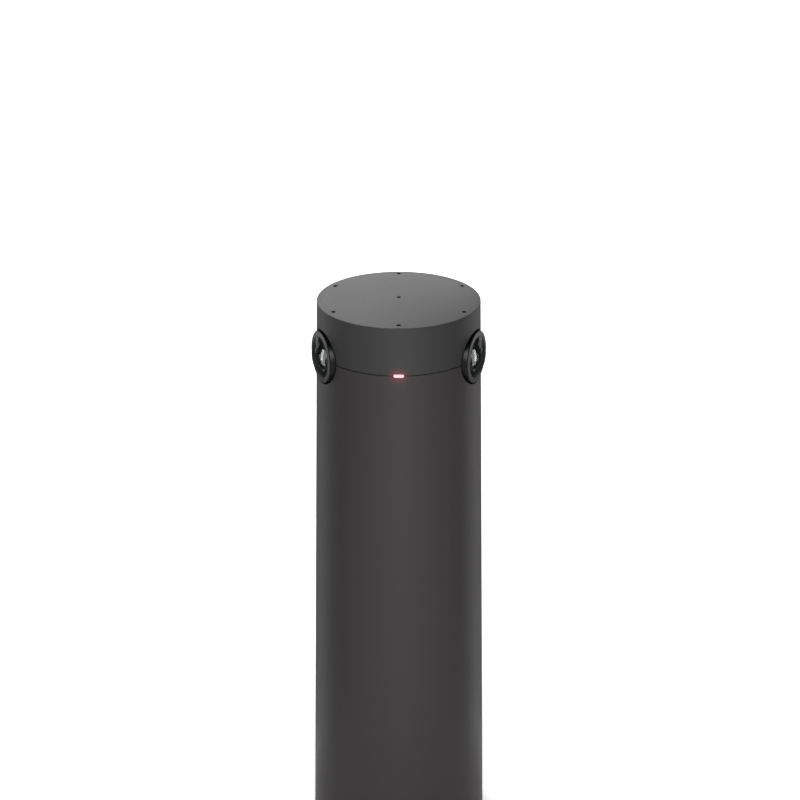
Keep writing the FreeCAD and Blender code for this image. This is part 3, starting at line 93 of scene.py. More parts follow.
class Group:
    """A shader node group being built: its sockets, its nodes and its links."""

    def __init__(self, name, inputs, outputs):
        self.tree = bpy.data.node_groups.new(name, "ShaderNodeTree")
        for label, kind, value in inputs:
            socket = self.tree.interface.new_socket(label, in_out="INPUT", socket_type=kind)
            socket.default_value = value
        for label, kind in outputs:
            self.tree.interface.new_socket(label, in_out="OUTPUT", socket_type=kind)
        self.source = self.tree.nodes.new("NodeGroupInput").outputs
        self.result = self.tree.nodes.new("NodeGroupOutput").inputs

    def node(self, kind, **settings):
        made = self.tree.nodes.new("ShaderNode" + kind)
        for name, value in settings.items():
            setattr(made, name, value)
        return made

    def feed(self, socket, value):
        if isinstance(value, bpy.types.NodeSocket):
            self.tree.links.new(value, socket)
        else:
            socket.default_value = value

    def sums(self, operation, *values, clamp=False):
        """The result of a sum on numbers."""
        made = self.node("Math", operation=operation, use_clamp=clamp)
        for socket, value in zip(made.inputs, values):
            self.feed(socket, value)
        return made.outputs[0]

    def one_over(self, label):
        """One over an input of the group."""
        return self.sums("DIVIDE", 1.0, self.source[label])

    def vector(self, operation, *values):
        """The result of a sum on vectors: a number for a length or a dot product."""
        made = self.node("VectorMath", operation=operation)
        for socket, value in zip(made.inputs, values):
            self.feed(socket, value)
        is_number = operation in ("LENGTH", "DOT_PRODUCT")
        return made.outputs["Value" if is_number else "Vector"]

    def scaled(self, vector, factor):
        made = self.node("VectorMath", operation="SCALE")
        self.feed(made.inputs["Vector"], vector)
        self.feed(made.inputs["Scale"], factor)
        return made.outputs["Vector"]

    def place_mm(self):
        """The point being shaded, in the frame's millimetres."""
        return self.scaled(self.node("TexCoord").outputs["Object"], 1 / MM)

    def noise(self, where, scale, detail=2.0, roughness=0.5):
        """Cloudy noise; the scale is in clouds a millimetre."""
        made = self.node("TexNoise")
        self.feed(made.inputs["Vector"], where)
        self.feed(made.inputs["Scale"], scale)
        made.inputs["Detail"].default_value = detail
        made.inputs["Roughness"].default_value = roughness
        return made.outputs["Fac"]

    def ramp(self, value, low, high, to_low=0.0, to_high=1.0):
        """A value stretched from one range to another, and held at its ends."""
        made = self.node("MapRange", clamp=True)
        for socket, item in zip(made.inputs, (value, low, high, to_low, to_high)):
            self.feed(socket, item)
        return made.outputs["Result"]

    def out(self, label, value):
        self.tree.links.new(value, self.result[label])


def grain_group():
    """Fine moulded or sprayed grain: a height and a slow change of tone."""
    made = Group("surface_grain",
                 [("Size", FLOAT, 0.4), ("Blotch", FLOAT, 20.0)],
                 [("Height", FLOAT), ("Tone", FLOAT)])
    here = made.place_mm()
    made.out("Height", made.noise(here, made.one_over("Size"), detail=3.0, roughness=0.6))
    made.out("Tone", made.noise(here, made.one_over("Blotch")))
    return made.tree


def wear_group():
    """Where an outer edge is rubbed: a broken mask that follows the edges."""
    made = Group("edge_wear",
                 [("Width", FLOAT, 0.4), ("Amount", FLOAT, 0.5)],
                 [("Mask", FLOAT)])
    rounded = made.node("Bevel", samples=4)
    made.feed(rounded.inputs["Radius"], made.sums("MULTIPLY", made.source["Width"], MM))
    plain = made.node("NewGeometry").outputs["Normal"]
    likeness = made.vector("DOT_PRODUCT", rounded.outputs["Normal"], plain)
    edge = made.ramp(likeness, low=0.999, high=0.8)
    patches = made.noise(made.place_mm(), scale=1.4, detail=4.0, roughness=0.7)
    broken = made.ramp(patches, low=0.42, high=0.62)
    made.out("Mask", made.sums("MULTIPLY", made.sums("MULTIPLY", edge, broken),
                               made.source["Amount"], clamp=True))
    return made.tree


def dust_group():
    """Light dust that settles on faces that look up."""
    made = Group("settled_dust", [("Amount", FLOAT, 0.3)], [("Mask", FLOAT)])
    facing = made.node("SeparateXYZ")
    made.feed(facing.inputs[0], made.node("NewGeometry").outputs["Normal"])
    upward = made.ramp(facing.outputs["Z"], low=0.5, high=1.0)
    speckle = made.noise(made.place_mm(), scale=1.1, detail=5.0, roughness=0.75)
    specks = made.ramp(speckle, low=0.5, high=0.85)
    cloud = made.noise(made.place_mm(), scale=0.05)
    settled = made.sums("MULTIPLY", made.sums("MULTIPLY", specks, cloud), upward)
    made.out("Mask", made.sums("MULTIPLY", settled, made.source["Amount"], clamp=True))
    return made.tree


def lathe_lines_group():
    """Fine lines that a tool leaves round an axis: a height that changes with the radius."""
    made = Group("lathe_lines",
                 [("Centre", VECTOR, (0, 0, 0)), ("Axis", VECTOR, (0, 0, 1)),
                  ("Pitch", FLOAT, 0.25)],
                 [("Height", FLOAT), ("Tone", FLOAT)])
    from_centre = made.vector("SUBTRACT", made.place_mm(), made.source["Centre"])
    along = made.vector("DOT_PRODUCT", from_centre, made.source["Axis"])
    on_axis = made.scaled(made.source["Axis"], along)
    radius = made.vector("LENGTH", made.vector("SUBTRACT", from_centre, on_axis))
    in_section = made.node("CombineXYZ")
    made.feed(in_section.inputs["X"], made.sums("DIVIDE", radius, made.source["Pitch"]))
    made.feed(in_section.inputs["Y"], made.sums("DIVIDE", along, made.source["Pitch"]))
    line = made.node("TexNoise", noise_dimensions="2D")
    made.feed(line.inputs["Vector"], in_section.outputs[0])
    line.inputs["Scale"].default_value = 1.0
    line.inputs["Detail"].default_value = 3.0
    made.out("Height", line.outputs["Fac"])
    made.out("Tone", made.noise(from_centre, scale=0.15))
    return made.tree


def drawn_lines_group():
    """Long scratches along one direction, as rolled or brushed sheet has."""
    made = Group("drawn_lines",
                 [("Stretch", VECTOR, (0.03, 1, 1)), ("Pitch", FLOAT, 0.12)],
                 [("Height", FLOAT)])
    stretched = made.vector("MULTIPLY", made.place_mm(), made.source["Stretch"])
    made.out("Height", made.noise(stretched, made.one_over("Pitch"), detail=4.0, roughness=0.65))
    return made.tree


def weave_group():
    """A plain fine weave: threads over and under, with dark gaps between them."""
    made = Group("fine_weave", [("Pitch", FLOAT, 0.12)], [("Height", FLOAT), ("Gap", FLOAT)])
    parts = made.node("SeparateXYZ")
    made.feed(parts.inputs[0], made.place_mm())
    waves = []
    for axis in ("X", "Y"):
        threads = made.sums("DIVIDE", parts.outputs[axis], made.source["Pitch"])
        sine = made.sums("SINE", made.sums("MULTIPLY", threads, math.pi))
        waves.append(made.sums("ABSOLUTE", sine))
    made.out("Height", made.sums("MAXIMUM", *waves))
    made.out("Gap", made.ramp(made.sums("MULTIPLY", *waves), low=0.12, high=0.3,
                              to_low=1.0, to_high=0.0))
    return made.tree


def tracks_group():
    """A circuit board's tracks and pads, as masks and a small height."""
    made = Group("board_tracks", [("Pitch", FLOAT, 1.6)],
                 [("Track", FLOAT), ("Pad", FLOAT), ("Height", FLOAT)])
    here = made.place_mm()
    scale = made.one_over("Pitch")
    masks = []
    for shape, edge, fade_end in (({"feature": "DISTANCE_TO_EDGE"}, 0.05, 0.09),
                                  ({"feature": "F1", "distance": "CHEBYCHEV"}, 0.14, 0.18)):
        cells = made.node("TexVoronoi", **shape)
        made.feed(cells.inputs["Vector"], here)
        made.feed(cells.inputs["Scale"], scale)
        masks.append(made.ramp(cells.outputs["Distance"], edge, fade_end,
                               to_low=1.0, to_high=0.0))
    track, pad = masks
    made.out("Track", track)
    made.out("Pad", pad)
    made.out("Height", made.sums("MAXIMUM", track, pad))
    return made.tree


def glow_group():
    """How near a point is to the indicator: a full core and a soft halo."""
    made = Group("indicator_glow",
                 [("Centre", VECTOR, (0, 0, 0)), ("Half length", FLOAT, 2.6),
                  ("Reach", FLOAT, 4.0)],
                 [("Halo", FLOAT), ("Core", FLOAT)])
    parts = made.node("SeparateXYZ")
    made.feed(parts.inputs[0], made.vector("SUBTRACT", made.place_mm(), made.source["Centre"]))
    sideways = made.sums("ABSOLUTE", parts.outputs["X"])
    past_end = made.sums("SUBTRACT", sideways, made.source["Half length"])
    from_line = made.node("CombineXYZ")
    made.feed(from_line.inputs["X"], made.sums("MAXIMUM", past_end, 0.0))
    made.feed(from_line.inputs["Y"], parts.outputs["Y"])
    made.feed(from_line.inputs["Z"], parts.outputs["Z"])
    away = made.vector("LENGTH", from_line.outputs[0])
    near = made.ramp(away, 0.0, made.source["Reach"], to_low=1.0, to_high=0.0)
    made.out("Halo", made.sums("POWER", near, 2.0))
    made.out("Core", made.ramp(away, low=0.5, high=1.1, to_low=1.0, to_high=0.0))
    return made.tree


GROUPS = {
    "grain": grain_group(),
    "wear": wear_group(),
    "dust": dust_group(),
    "lathe": lathe_lines_group(),
    "drawn": drawn_lines_group(),
    "weave": weave_group(),
    "tracks": tracks_group(),
    "glow": glow_group(),
}


class Finish:
    """A material being built round one Principled shader."""

    def __init__(self, name, colour, roughness, metallic=0.0, specular=0.5):
        self.material = bpy.data.materials.new(name)
        self.material.use_nodes = True
        self.tree = self.material.node_tree
        self.shader = self.tree.nodes["Principled BSDF"]
        self.colour = colour
        self.set("Base Color", (*colour, 1.0))
        self.set("Roughness", roughness)
        self.set("Metallic", metallic)
        self.set("Specular IOR Level", specular)
        self.material.diffuse_color = (*colour, 1.0)

    def set(self, label, value):
        self.shader.inputs[label].default_value = value

    def link(self, source, label):
        self.tree.links.new(source, self.shader.inputs[label])

    def effect(self, kind, **values):
        """Places a shader group with its values, and gives its outputs."""
        made = self.tree.nodes.new("ShaderNodeGroup")
        made.node_tree = GROUPS[kind]
        for label, value in values.items():
            made.inputs[label.replace("_", " ")].default_value = value
        return made.outputs

    def mixed(self, mask, outside, inside):
        """One colour outside the mask, the other inside it; each may be a socket."""
        mix = self.tree.nodes.new("ShaderNodeMix")
        mix.data_type = "RGBA"
        self.tree.links.new(mask, mix.inputs["Factor"])
        for label, colour in (("A", outside), ("B", inside)):
            if isinstance(colour, bpy.types.NodeSocket):
                self.tree.links.new(colour, mix.inputs[label])
            else:
                mix.inputs[label].default_value = (*colour, 1.0)
        return mix.outputs["Result"]

    def tint(self, mask, colour, share=1.0):
        """Mixes a colour in where the mask says, at most by the share."""
        if share < 1.0:
            part = self.tree.nodes.new("ShaderNodeMath")
            part.operation = "MULTIPLY"
            part.inputs[1].default_value = share
            self.tree.links.new(mask, part.inputs[0])
            mask = part.outputs[0]
        self.colour = self.mixed(mask, self.colour, colour)
        self.link(self.colour, "Base Color")

    def glow(self, mask, outside, inside):
        """Light of its own, in one colour outside the mask and another inside it."""
        self.link(self.mixed(mask, outside, inside), "Emission Color")
        self.set("Emission Strength", 1.0)

    def roughen(self, mask, low, high):
        """Roughness between two values as the mask changes."""
        spread = self.tree.nodes.new("ShaderNodeMapRange")
        self.tree.links.new(mask, spread.inputs["Value"])
        spread.inputs["To Min"].default_value = low
        spread.inputs["To Max"].default_value = high
        self.link(spread.outputs["Result"], "Roughness")

    def bump(self, height, depth_mm):
        """Small relief, as deep as the depth where the height goes from 0 to 1."""
        made = self.tree.nodes.new("ShaderNodeBump")
        made.inputs["Strength"].default_value = 1.0
        made.inputs["Distance"].default_value = depth_mm * MM
        self.tree.links.new(height, made.inputs["Height"])
        self.link(made.outputs["Normal"], "Normal")


BLACK = (0, 0, 0)
SHELL_DUST = (0.32, 0.31, 0.3)
RUBBER_DUST = (0.25, 0.24, 0.23)
BARE_PAD = (0.55, 0.5, 0.38)
PAINTED_RED_GLOW = (0.17, 0.012, 0.024)
PILL_EDGE = (0.7, 0.1, 0.16)
PILL_CORE = (0.78, 0.56, 0.61)
COAT_TINT = (0.94, 1.0, 0.97)
BRASS = (0.72, 0.52, 0.24)


def times(colour, factor):
    """The colour made lighter, or darker where the factor is below 1."""
    return tuple(min(1.0, part * factor) for part in colour)


def shell_paint(name, colour, grain_size):
    """Satin graphite on the cap and the sleeve, with the indicator's red light painted on as a
    glow near the pill.
    """
    made = Finish(name, colour, 0.5, specular=0.18)
    grain = made.effect("grain", Size=grain_size, Blotch=26.0)
    wear = made.effect("wear", Width=0.25, Amount=0.35)
    dust = made.effect("dust", Amount=0.15)
    painted_glow = made.effect("glow", Centre=tuple(INDICATOR / MM), Half_length=1.2, Reach=6.0)
    made.tint(grain["Tone"], times(colour, 1.12), 0.6)
    made.tint(wear["Mask"], times(colour, 2.2))
    made.tint(dust["Mask"], SHELL_DUST)
    made.roughen(grain["Tone"], 0.54, 0.62)
    made.bump(grain["Height"], 0.006)
    # Painted light: the shell glows red round the pill, standing in for the indicator's light
    # falling on it.
    made.glow(painted_glow["Halo"], BLACK, PAINTED_RED_GLOW)
    return made.material


def moulded(name, colour, roughness=0.5, grain_size=0.3, depth=0.015, specular=0.4):
    """Moulded plastic with a spark-eroded grain."""
    made = Finish(name, colour, roughness, specular=specular)
    grain = made.effect("grain", Size=grain_size, Blotch=14.0)
    wear = made.effect("wear", Width=0.15, Amount=0.5)
    made.tint(grain["Tone"], times(colour, 1.3), 0.5)
    made.tint(wear["Mask"], times(colour, 1.8))
    made.roughen(grain["Height"], roughness - 0.06, roughness + 0.08)
    made.bump(grain["Height"], depth)
    return made.material


def rubber(name, colour, roughness=0.75, depth=0.03, dusty=0.8, specular=0.25):
    """Moulded rubber with a fine skin, and as much settled dust as dusty says."""
    made = Finish(name, colour, roughness, specular=specular)
    grain = made.effect("grain", Size=0.5, Blotch=9.0)
    dust = made.effect("dust", Amount=dusty)
    made.tint(grain["Tone"], times(colour, 1.6), 0.6)
    made.tint(dust["Mask"], RUBBER_DUST)
    made.roughen(grain["Height"], roughness - 0.1, roughness + 0.1)
    made.bump(grain["Height"], depth)
    return made.material


def turned_metal(name, colour, roughness, centre, axis, pitch=0.2, depth=0.004, metallic=1.0,
                 specular=0.5):
    """A turned surface, with the tool's lines round its axis; a coated one isn't metallic."""
    made = Finish(name, colour, roughness, metallic, specular)
    lines = made.effect("lathe", Centre=centre, Axis=axis, Pitch=pitch)
    wear = made.effect("wear", Width=0.2, Amount=0.6)
    made.tint(lines["Tone"], times(colour, 1.25), 0.5)
    made.tint(wear["Mask"], times(colour, 1.7))
    made.roughen(lines["Height"], roughness - 0.07, roughness + 0.1)
    made.bump(lines["Height"], depth)
    return made.material


def sheet_metal(name, colour, roughness=0.3, stretch=(0.04, 1, 1)):
    """Plated sheet, with the fine lines of rolling."""
    made = Finish(name, colour, roughness, 1.0)
    lines = made.effect("drawn", Stretch=stretch, Pitch=0.15)
    wear = made.effect("wear", Width=0.15, Amount=0.5)
    made.tint(lines["Height"], times(colour, 0.8), 0.5)
    made.tint(wear["Mask"], times(colour, 1.3))
    made.roughen(lines["Height"], roughness - 0.08, roughness + 0.12)
    made.bump(lines["Height"], 0.003)
    return made.material


def cast_metal(name, colour, roughness=0.55, metallic=0.9, grain_size=0.7):
    """Bare casting, with the grain of its mould."""
    made = Finish(name, colour, roughness, metallic)
    grain = made.effect("grain", Size=grain_size, Blotch=12.0)
    wear = made.effect("wear", Width=0.4, Amount=0.7)
    made.tint(grain["Tone"], times(colour, 0.7), 0.6)
    made.tint(wear["Mask"], times(colour, 1.5))
    made.roughen(grain["Height"], roughness - 0.1, roughness + 0.12)
    made.bump(grain["Height"], 0.06)
    return made.material


def board(name, colour):
    """Solder mask over copper tracks, with bare pads."""
    made = Finish(name, colour, 0.35)
    tracks = made.effect("tracks", Pitch=2.2)
    grain = made.effect("grain", Size=0.8, Blotch=10.0)
    made.tint(grain["Tone"], times(colour, 1.25), 0.6)
    made.tint(tracks["Track"], times(colour, 1.9))
    made.tint(tracks["Pad"], BARE_PAD)
    made.link(tracks["Pad"], "Metallic")
    made.roughen(tracks["Pad"], 0.38, 0.25)
    made.bump(tracks["Height"], 0.03)
    return made.material


def clear_glass(name, colour, roughness, ior, specular):
    """Coated glass: a body tint, and a thin coat that sends back a greenish light."""
    made = Finish(name, colour, roughness, specular=specular)
    made.set("Transmission Weight", 1.0)
    made.set("IOR", ior)
    made.set("Specular Tint", (*COAT_TINT, 1.0))
    grain = made.effect("grain", Size=6.0, Blotch=30.0)
    made.roughen(grain["Tone"], roughness, roughness + 0.02)
    return made.material


def lit_diffuser(name):
    """The frosted pill: white-hot in the middle, redder towards its edge."""
    made = Finish(name, (0.3, 0.1, 0.12), 0.35)
    heat = made.effect("glow", Centre=tuple(INDICATOR / MM), Half_length=1.9, Reach=2.0)
    grain = made.effect("grain", Size=0.3, Blotch=3.0)
    made.bump(grain["Height"], 0.01)
    made.glow(heat["Core"], PILL_EDGE, PILL_CORE)
    return made.material


def woven(name, colour):
    """Fine woven mesh, dark in its gaps."""
    made = Finish(name, colour, 0.8, specular=0.2)
    weave = made.effect("weave", Pitch=0.14)
    made.tint(weave["Gap"], times(colour, 0.2))
    made.bump(weave["Height"], 0.05)
    return made.material


SEAM_POINT = (0, 0, SEAM_Z / MM)
UPRIGHT = {"centre": (0, 0, 0), "axis": (0, 0, 1)}
MATERIALS = {
    "graphite_cap": shell_paint("graphite_cap", (0.034, 0.034, 0.034), 0.25),
    # The sleeve's colour is a little warmer than the cap's: a painted warm cast of light over the
    # same graphite.
    "graphite_sleeve": shell_paint("graphite_sleeve", (0.0365, 0.033, 0.0335), 0.25),
    "seam_rubber": rubber("seam_rubber", (0.003, 0.003, 0.003), dusty=0.2, specular=0.15),
    # Near-black and barely glossy: the sound-hole collars paint the holes' shade.
    "hole_rubber": rubber("hole_rubber", (0.002, 0.002, 0.002), dusty=0.02, specular=0.05),
    "indicator_diffuser": lit_diffuser("indicator_diffuser"),
    "emitter_plastic": moulded("emitter_plastic", (0.85, 0.82, 0.7), 0.3),
    "board_laminate": board("board_laminate", (0.012, 0.06, 0.035)),
    "flex_film": moulded("flex_film", (0.4, 0.16, 0.03), 0.3, 0.6, 0.01),
    "acoustic_mesh": woven("acoustic_mesh", (0.012, 0.012, 0.012)),
    "gasket_rubber": rubber("gasket_rubber", (0.03, 0.03, 0.03)),
    "can_steel": sheet_metal("can_steel", (0.62, 0.62, 0.6)),
    "cast_aluminium": cast_metal("cast_aluminium", (0.5, 0.5, 0.51)),
    "chassis_aluminium": sheet_metal("chassis_aluminium", (0.55, 0.55, 0.56), 0.38),
    "sink_aluminium": sheet_metal("sink_aluminium", (0.06, 0.06, 0.062), 0.45, (1, 1, 0.03)),
    "chip_plastic": moulded("chip_plastic", (0.018, 0.018, 0.02), 0.55, 0.2),
    "thermal_rubber": rubber("thermal_rubber", (0.25, 0.4, 0.55), 0.6),
    "power_plastic": moulded("power_plastic", (0.03, 0.03, 0.035), 0.35),
    "base_paint": moulded("base_paint", (0.022, 0.022, 0.023), 0.6, 0.5, 0.04),
    "foot_rubber": rubber("foot_rubber", (0.016, 0.016, 0.016), 0.8, 0.05),
    "insert_brass": turned_metal("insert_brass", BRASS, 0.28, **UPRIGHT),
    "ballast_iron": cast_metal("ballast_iron", (0.12, 0.12, 0.12), 0.6, 0.8, 1.1),
    "panel_plastic": moulded("panel_plastic", (0.022, 0.022, 0.022), 0.55),
    "standoff_brass": turned_metal("standoff_brass", BRASS, 0.3, **UPRIGHT),
    "jack_steel": sheet_metal("jack_steel", (0.62, 0.61, 0.58), 0.28),
    "switch_plastic": moulded("switch_plastic", (0.03, 0.03, 0.03), 0.5),
    "button_plastic": moulded("button_plastic", (0.09, 0.09, 0.09), 0.5),
    "socket_plastic": moulded("socket_plastic", (0.6, 0.56, 0.46), 0.45),
    "screw_steel": turned_metal("screw_steel", (0.16, 0.16, 0.165), 0.35, **UPRIGHT),
    # The dome's dark tint dims all that is seen through it: painted shade over the lens's inside.
    "dome_glass": clear_glass("dome_glass", (0.15, 0.19, 0.18), 0.0, 1.5, 0.5),
    "baffle_black": moulded("baffle_black", (0.014, 0.015, 0.015), 0.7, 0.4, 0.03, 0.15),
    "small_glass": clear_glass("small_glass", (0.5, 0.75, 0.66), 0.0, 1.6, 0.6),
    "holder_black": moulded("holder_black", (0.012, 0.012, 0.012), 0.6),
    "filter_glass": clear_glass("filter_glass", (0.6, 0.85, 0.9), 0.02, 1.5, 0.5),
    "sensor_silicon": moulded("sensor_silicon", (0.05, 0.035, 0.08), 0.12, 1.0, 0.002, 0.8),
    "cable_jacket": rubber("cable_jacket", (0.015, 0.015, 0.015), 0.5, 0.01),
}
for side in SIDES:
    axis = tuple(lens_axis(side))
    MATERIALS["ring_anodised_" + side] = turned_metal(
        "ring_anodised_" + side, (0.08, 0.08, 0.08), 0.36, SEAM_POINT, axis,
        pitch=0.18, depth=0.003, metallic=0.0)
    MATERIALS["barrel_anodised_" + side] = turned_metal(
        "barrel_anodised_" + side, (0.003, 0.003, 0.003), 0.3, SEAM_POINT, axis,
        metallic=0.0, specular=0.12)

slot_names = {part["node"]: part["material_slot"] for part in frame["record"]["subparts"]}
for name, thing in nodes.items():
    side = name.split("_")[0]
    finish = MATERIALS.get(slot_names[name]) or MATERIALS[slot_names[name] + "_" + side]
    for index in range(len(thing.data.materials)):
        thing.data.materials[index] = finish
    if not thing.data.materials:
        thing.data.materials.append(finish)


# Meshes, in mm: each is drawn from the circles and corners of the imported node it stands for
ROUND_STEPS = 128
SMALL_STEPS = 48
CORNER_STEPS = 4
SHARP_ANGLE = math.radians(32)
# The quarter-inch camera thread
THREAD_PITCH = 1.27
THREAD_DEPTH = 0.55
STEPS_A_PITCH = 10


def circles(node, axis, centre, within=100.0):
    """The circles round an axis, up to a radius: sorted (distance along it, radius) pairs."""
    found = set()
    for vertex in nodes[node].data.vertices:
        away = (vertex.co - centre) / MM
        distance = away.dot(axis)
        radius = (away - axis * distance).length
        if radius < within:
            found.add((round(distance, 2), round(radius, 2)))
    return sorted(found)


def box_mm(node):
    """The two far corners of a node's box."""
    low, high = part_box(node)
    return low / MM, high / MM


def placed(name, shape, slot_name, finish=None, body=COLUMN):
    """Turns a drawn shape into a piece with its finish and the body that carries it; without a
    finish, the slot's name picks it.
    """
    bmesh.ops.recalc_face_normals(shape, faces=shape.faces)
    mesh = bpy.data.meshes.new(name)
    shape.to_mesh(mesh)
    shape.free()
    mesh.shade_smooth()
    mesh.set_sharp_from_angle(angle=SHARP_ANGLE)
    mesh.materials.append(MATERIALS[finish or slot_name])
    piece = bpy.data.objects.new(name, mesh)
    bpy.context.collection.objects.link(piece)
    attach(piece, body)
    return piece


def join_rows(shape, low, high):
    """Faces between two rows of points; a row of one point closes the form."""
    count = max(len(low), len(high))
    for step in range(count):
        after = (step + 1) % count
        corners = (low[step % len(low)], low[after % len(low)],
                   high[after % len(high)], high[step % len(high)])
        different = list(dict.fromkeys(corners))
        if len(different) > 2:
            shape.faces.new(different)


def turned(shape, outline, axis, centre, steps=ROUND_STEPS):
    """Turns an outline of (distance, radius) points; a third item bends a row's radius."""
    place = Matrix.Translation(centre) @ axis.to_track_quat("Z", "Y").to_matrix().to_4x4()
    rows = []
    for distance, radius, *bent in outline:
        row = []
        for step in range(steps if radius else 1):
            turn = 2 * math.pi * step / steps
            reach = bent[0](radius, distance, turn) if bent else radius
            spot = Vector((reach * math.cos(turn), reach * math.sin(turn), distance)) * MM
            row.append(shape.verts.new(place @ spot))
        rows.append(row)
    for low, high in zip(rows, rows[1:]):
        join_rows(shape, low, high)
    if outline[0][1]:
        join_rows(shape, rows[-1], rows[0])
    return shape


def towards(corner, other, cut):
    """The point a cut away from a corner, but always short of half way to the other."""
    length = (other - corner).length
    return corner.lerp(other, min(cut, 0.45 * length) / length)


def eased(outline, cut):
    """An outline with its corners rounded, each round starting at most a cut before the corner."""
    smooth = []
    points = [Vector(point) for point in outline]
    for index, corner in enumerate(points):
        if corner.y == 0:
            smooth.append(tuple(corner))
            continue
        start = towards(corner, points[index - 1], cut)
        end = towards(corner, points[(index + 1) % len(points)], cut)
        for step in range(CORNER_STEPS + 1):
            share = step / CORNER_STEPS
            spot = start.lerp(corner, share).lerp(corner.lerp(end, share), share)
            smooth.append(tuple(spot))
    return smooth


def cap_arc(base, radius, apex, steps=24):
    """Points along the arc from a rim to its apex on the axis."""
    rise = apex - base
    ball = (rise * rise + radius * radius) / (2 * rise)
    half = math.asin(radius / ball)
    points = []
    for step in range(steps + 1):
        angle = half * (1 - step / steps)
        points.append((apex - ball + ball * math.cos(angle), ball * math.sin(angle)))
    return points


def lens_ring(side):
    """The dark satin face, the black barrel behind it, and the bead that holds the glass."""
    node = side + "_lens_ring"
    axis = lens_axis(side)
    # From back to front: the lip, the barrel, the glass's seat and bore, the rim and the face
    rows = circles(node, axis, SEAM_CENTRE)
    back, throat = rows[0]
    lip = rows[1][1]
    lip_front, barrel = rows[2]
    seat = rows[4][0]
    bore = rows[5][1]
    rim_back = rows[6][0]
    rim, face_edge = rows[7]
    crown = rows[8][0]
    sunk = 0.2
    split = rim_back - sunk
    line = 0.06
    bead = 0.38
    rounding = 0.12
    face = turned(bmesh.new(), eased([(split, bore), (crown, bore), (rim - line, face_edge - line),
                                      (split, face_edge - line)], line), axis, SEAM_CENTRE)
    tube = turned(bmesh.new(), eased([(back, throat), (back, lip), (lip_front, lip),
                                      (lip_front, barrel), (rim_back, barrel), (rim, face_edge),
                                      (split - line, face_edge), (split - line, bore),
                                      (seat, bore), (seat, throat)], rounding), axis, SEAM_CENTRE)
    retainer = turned(bmesh.new(), eased([(crown - bead, bore), (crown + bead / 3, bore),
                                          (crown + bead / 2, bore - bead),
                                          (crown - bead, bore - bead)], rounding),
                      axis, SEAM_CENTRE)
    pieces = (
        placed(side + "_ring_face", face, "ring_anodised", "ring_anodised_" + side),
        placed(side + "_ring_tube", tube, "barrel_anodised", "barrel_anodised_" + side),
        placed(side + "_glass_retainer", retainer, "baffle_black"),
    )
    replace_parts(pieces[0], node)


def front_glass(side):
    """The front element: a polished dome over a deeper hollow, with a ground edge."""
    node = side + "_front_glass"
    axis = lens_axis(side)
    rows = circles(node, axis, SEAM_CENTRE)
    seat, hollow = rows[0]
    edge = max(radius for _, radius in rows)
    dome_base = max(distance for distance, radius in rows if radius == edge)
    apex = rows[-1][0]
    hollow_apex = min(distance for distance, radius in rows if radius == 0)
    chamfer = 0.15
    outline = list(reversed(cap_arc(dome_base, edge, apex)))
    outline += [(seat + chamfer, edge), (seat, edge - chamfer)]
    outline += cap_arc(seat, hollow, hollow_apex)
    glass = turned(bmesh.new(), outline, axis, SEAM_CENTRE)
    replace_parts(placed(side + "_dome", glass, "dome_glass"), node)


def sound_hole_collars():
    """A soft black collar just inside each sound hole, over its disc of mesh: partly a real gasket
    nozzle, partly painted shade that darkens the hole.
    """
    _, high = box_mm("mic_mesh")
    disc_reach = 5.0
    hole_reach = 2.0
    disc = circles("mic_mesh", UPWARD, ORIGIN, disc_reach)[0][1]
    hole = circles("head_cap", UPWARD, ORIGIN, hole_reach)[0][1]
    ring = high.y - disc
    wall = 0.15
    below = 0.03
    rounding = 0.03
    slope = 0.3
    places = [ORIGIN]
    for degrees in range(30, 390, 60):
        turn = math.radians(degrees)
        places.append(Vector((ring * math.cos(turn), ring * math.sin(turn), 0)))
    shape = bmesh.new()
    for place in places:
        heights = [height for height, _ in circles("head_cap", UPWARD, place * MM, hole_reach)]
        # The plate is crowned, so the rim of a hole has a lower side: the collar ends under that
        top = min(height for height in heights if height > heights[-1] - slope) - below
        outline = [(high.z, hole), (top, hole), (top, hole - wall), (high.z, hole - wall)]
        turned(shape, eased(outline, rounding), UPWARD, place * MM, SMALL_STEPS)
    placed("sound_hole_collars", shape, "seam_rubber", "hole_rubber")


def six_sided(radius, distance, turn):
    """The radius of a hexagon whose corners lie on the circle."""
    return radius * math.cos(math.pi / 6) / math.cos(turn % (math.pi / 3) - math.pi / 6)


def camera_thread(radius, distance, turn):
    """The radius along a quarter-inch camera thread: its grooves are cut outward from the bore."""
    phase = (distance / THREAD_PITCH - turn / (2 * math.pi)) % 1
    return radius + THREAD_DEPTH * (1 - abs(2 * phase - 1))


def base_screws():
    """Four screws with a rounded head and a six-sided drive socket that looks down."""
    corner = [vertex.co for vertex in nodes["base_screws"].data.vertices
              if vertex.co.x > 0 and vertex.co.y > 0]
    spread = [spot.x for spot in corner]
    middle = (min(spread) + max(spread)) / 2
    first = Vector((middle, middle, 0))
    head_reach = 5.0
    rows = circles("base_screws", UPWARD, first, head_reach)
    (head_low, head), (_, shank), (head_high, _), (tip, _) = rows
    socket = 1.35
    socket_depth = 1.3
    mouth = 0.15
    mouth_flare = 0.2
    dome = 0.6
    point = 0.9
    outline = [(head_low + socket_depth, 0), (head_low + socket_depth, socket, six_sided),
               (head_low + mouth, socket, six_sided), (head_low, socket + mouth_flare),
               (head_low, head - dome), (head_low + dome / 4, head - dome / 3),
               (head_low + dome, head), (head_high, head), (head_high, shank),
               (tip - point, shank), (tip, shank / 2), (tip, 0)]
    shape = bmesh.new()
    for quarter in range(4):
        place = Matrix.Rotation(quarter * math.pi / 2, 3, "Z") @ first
        turned(shape, outline, UPWARD, place, SMALL_STEPS)
    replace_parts(placed("base_screw_set", shape, "screw_steel"), "base_screws")


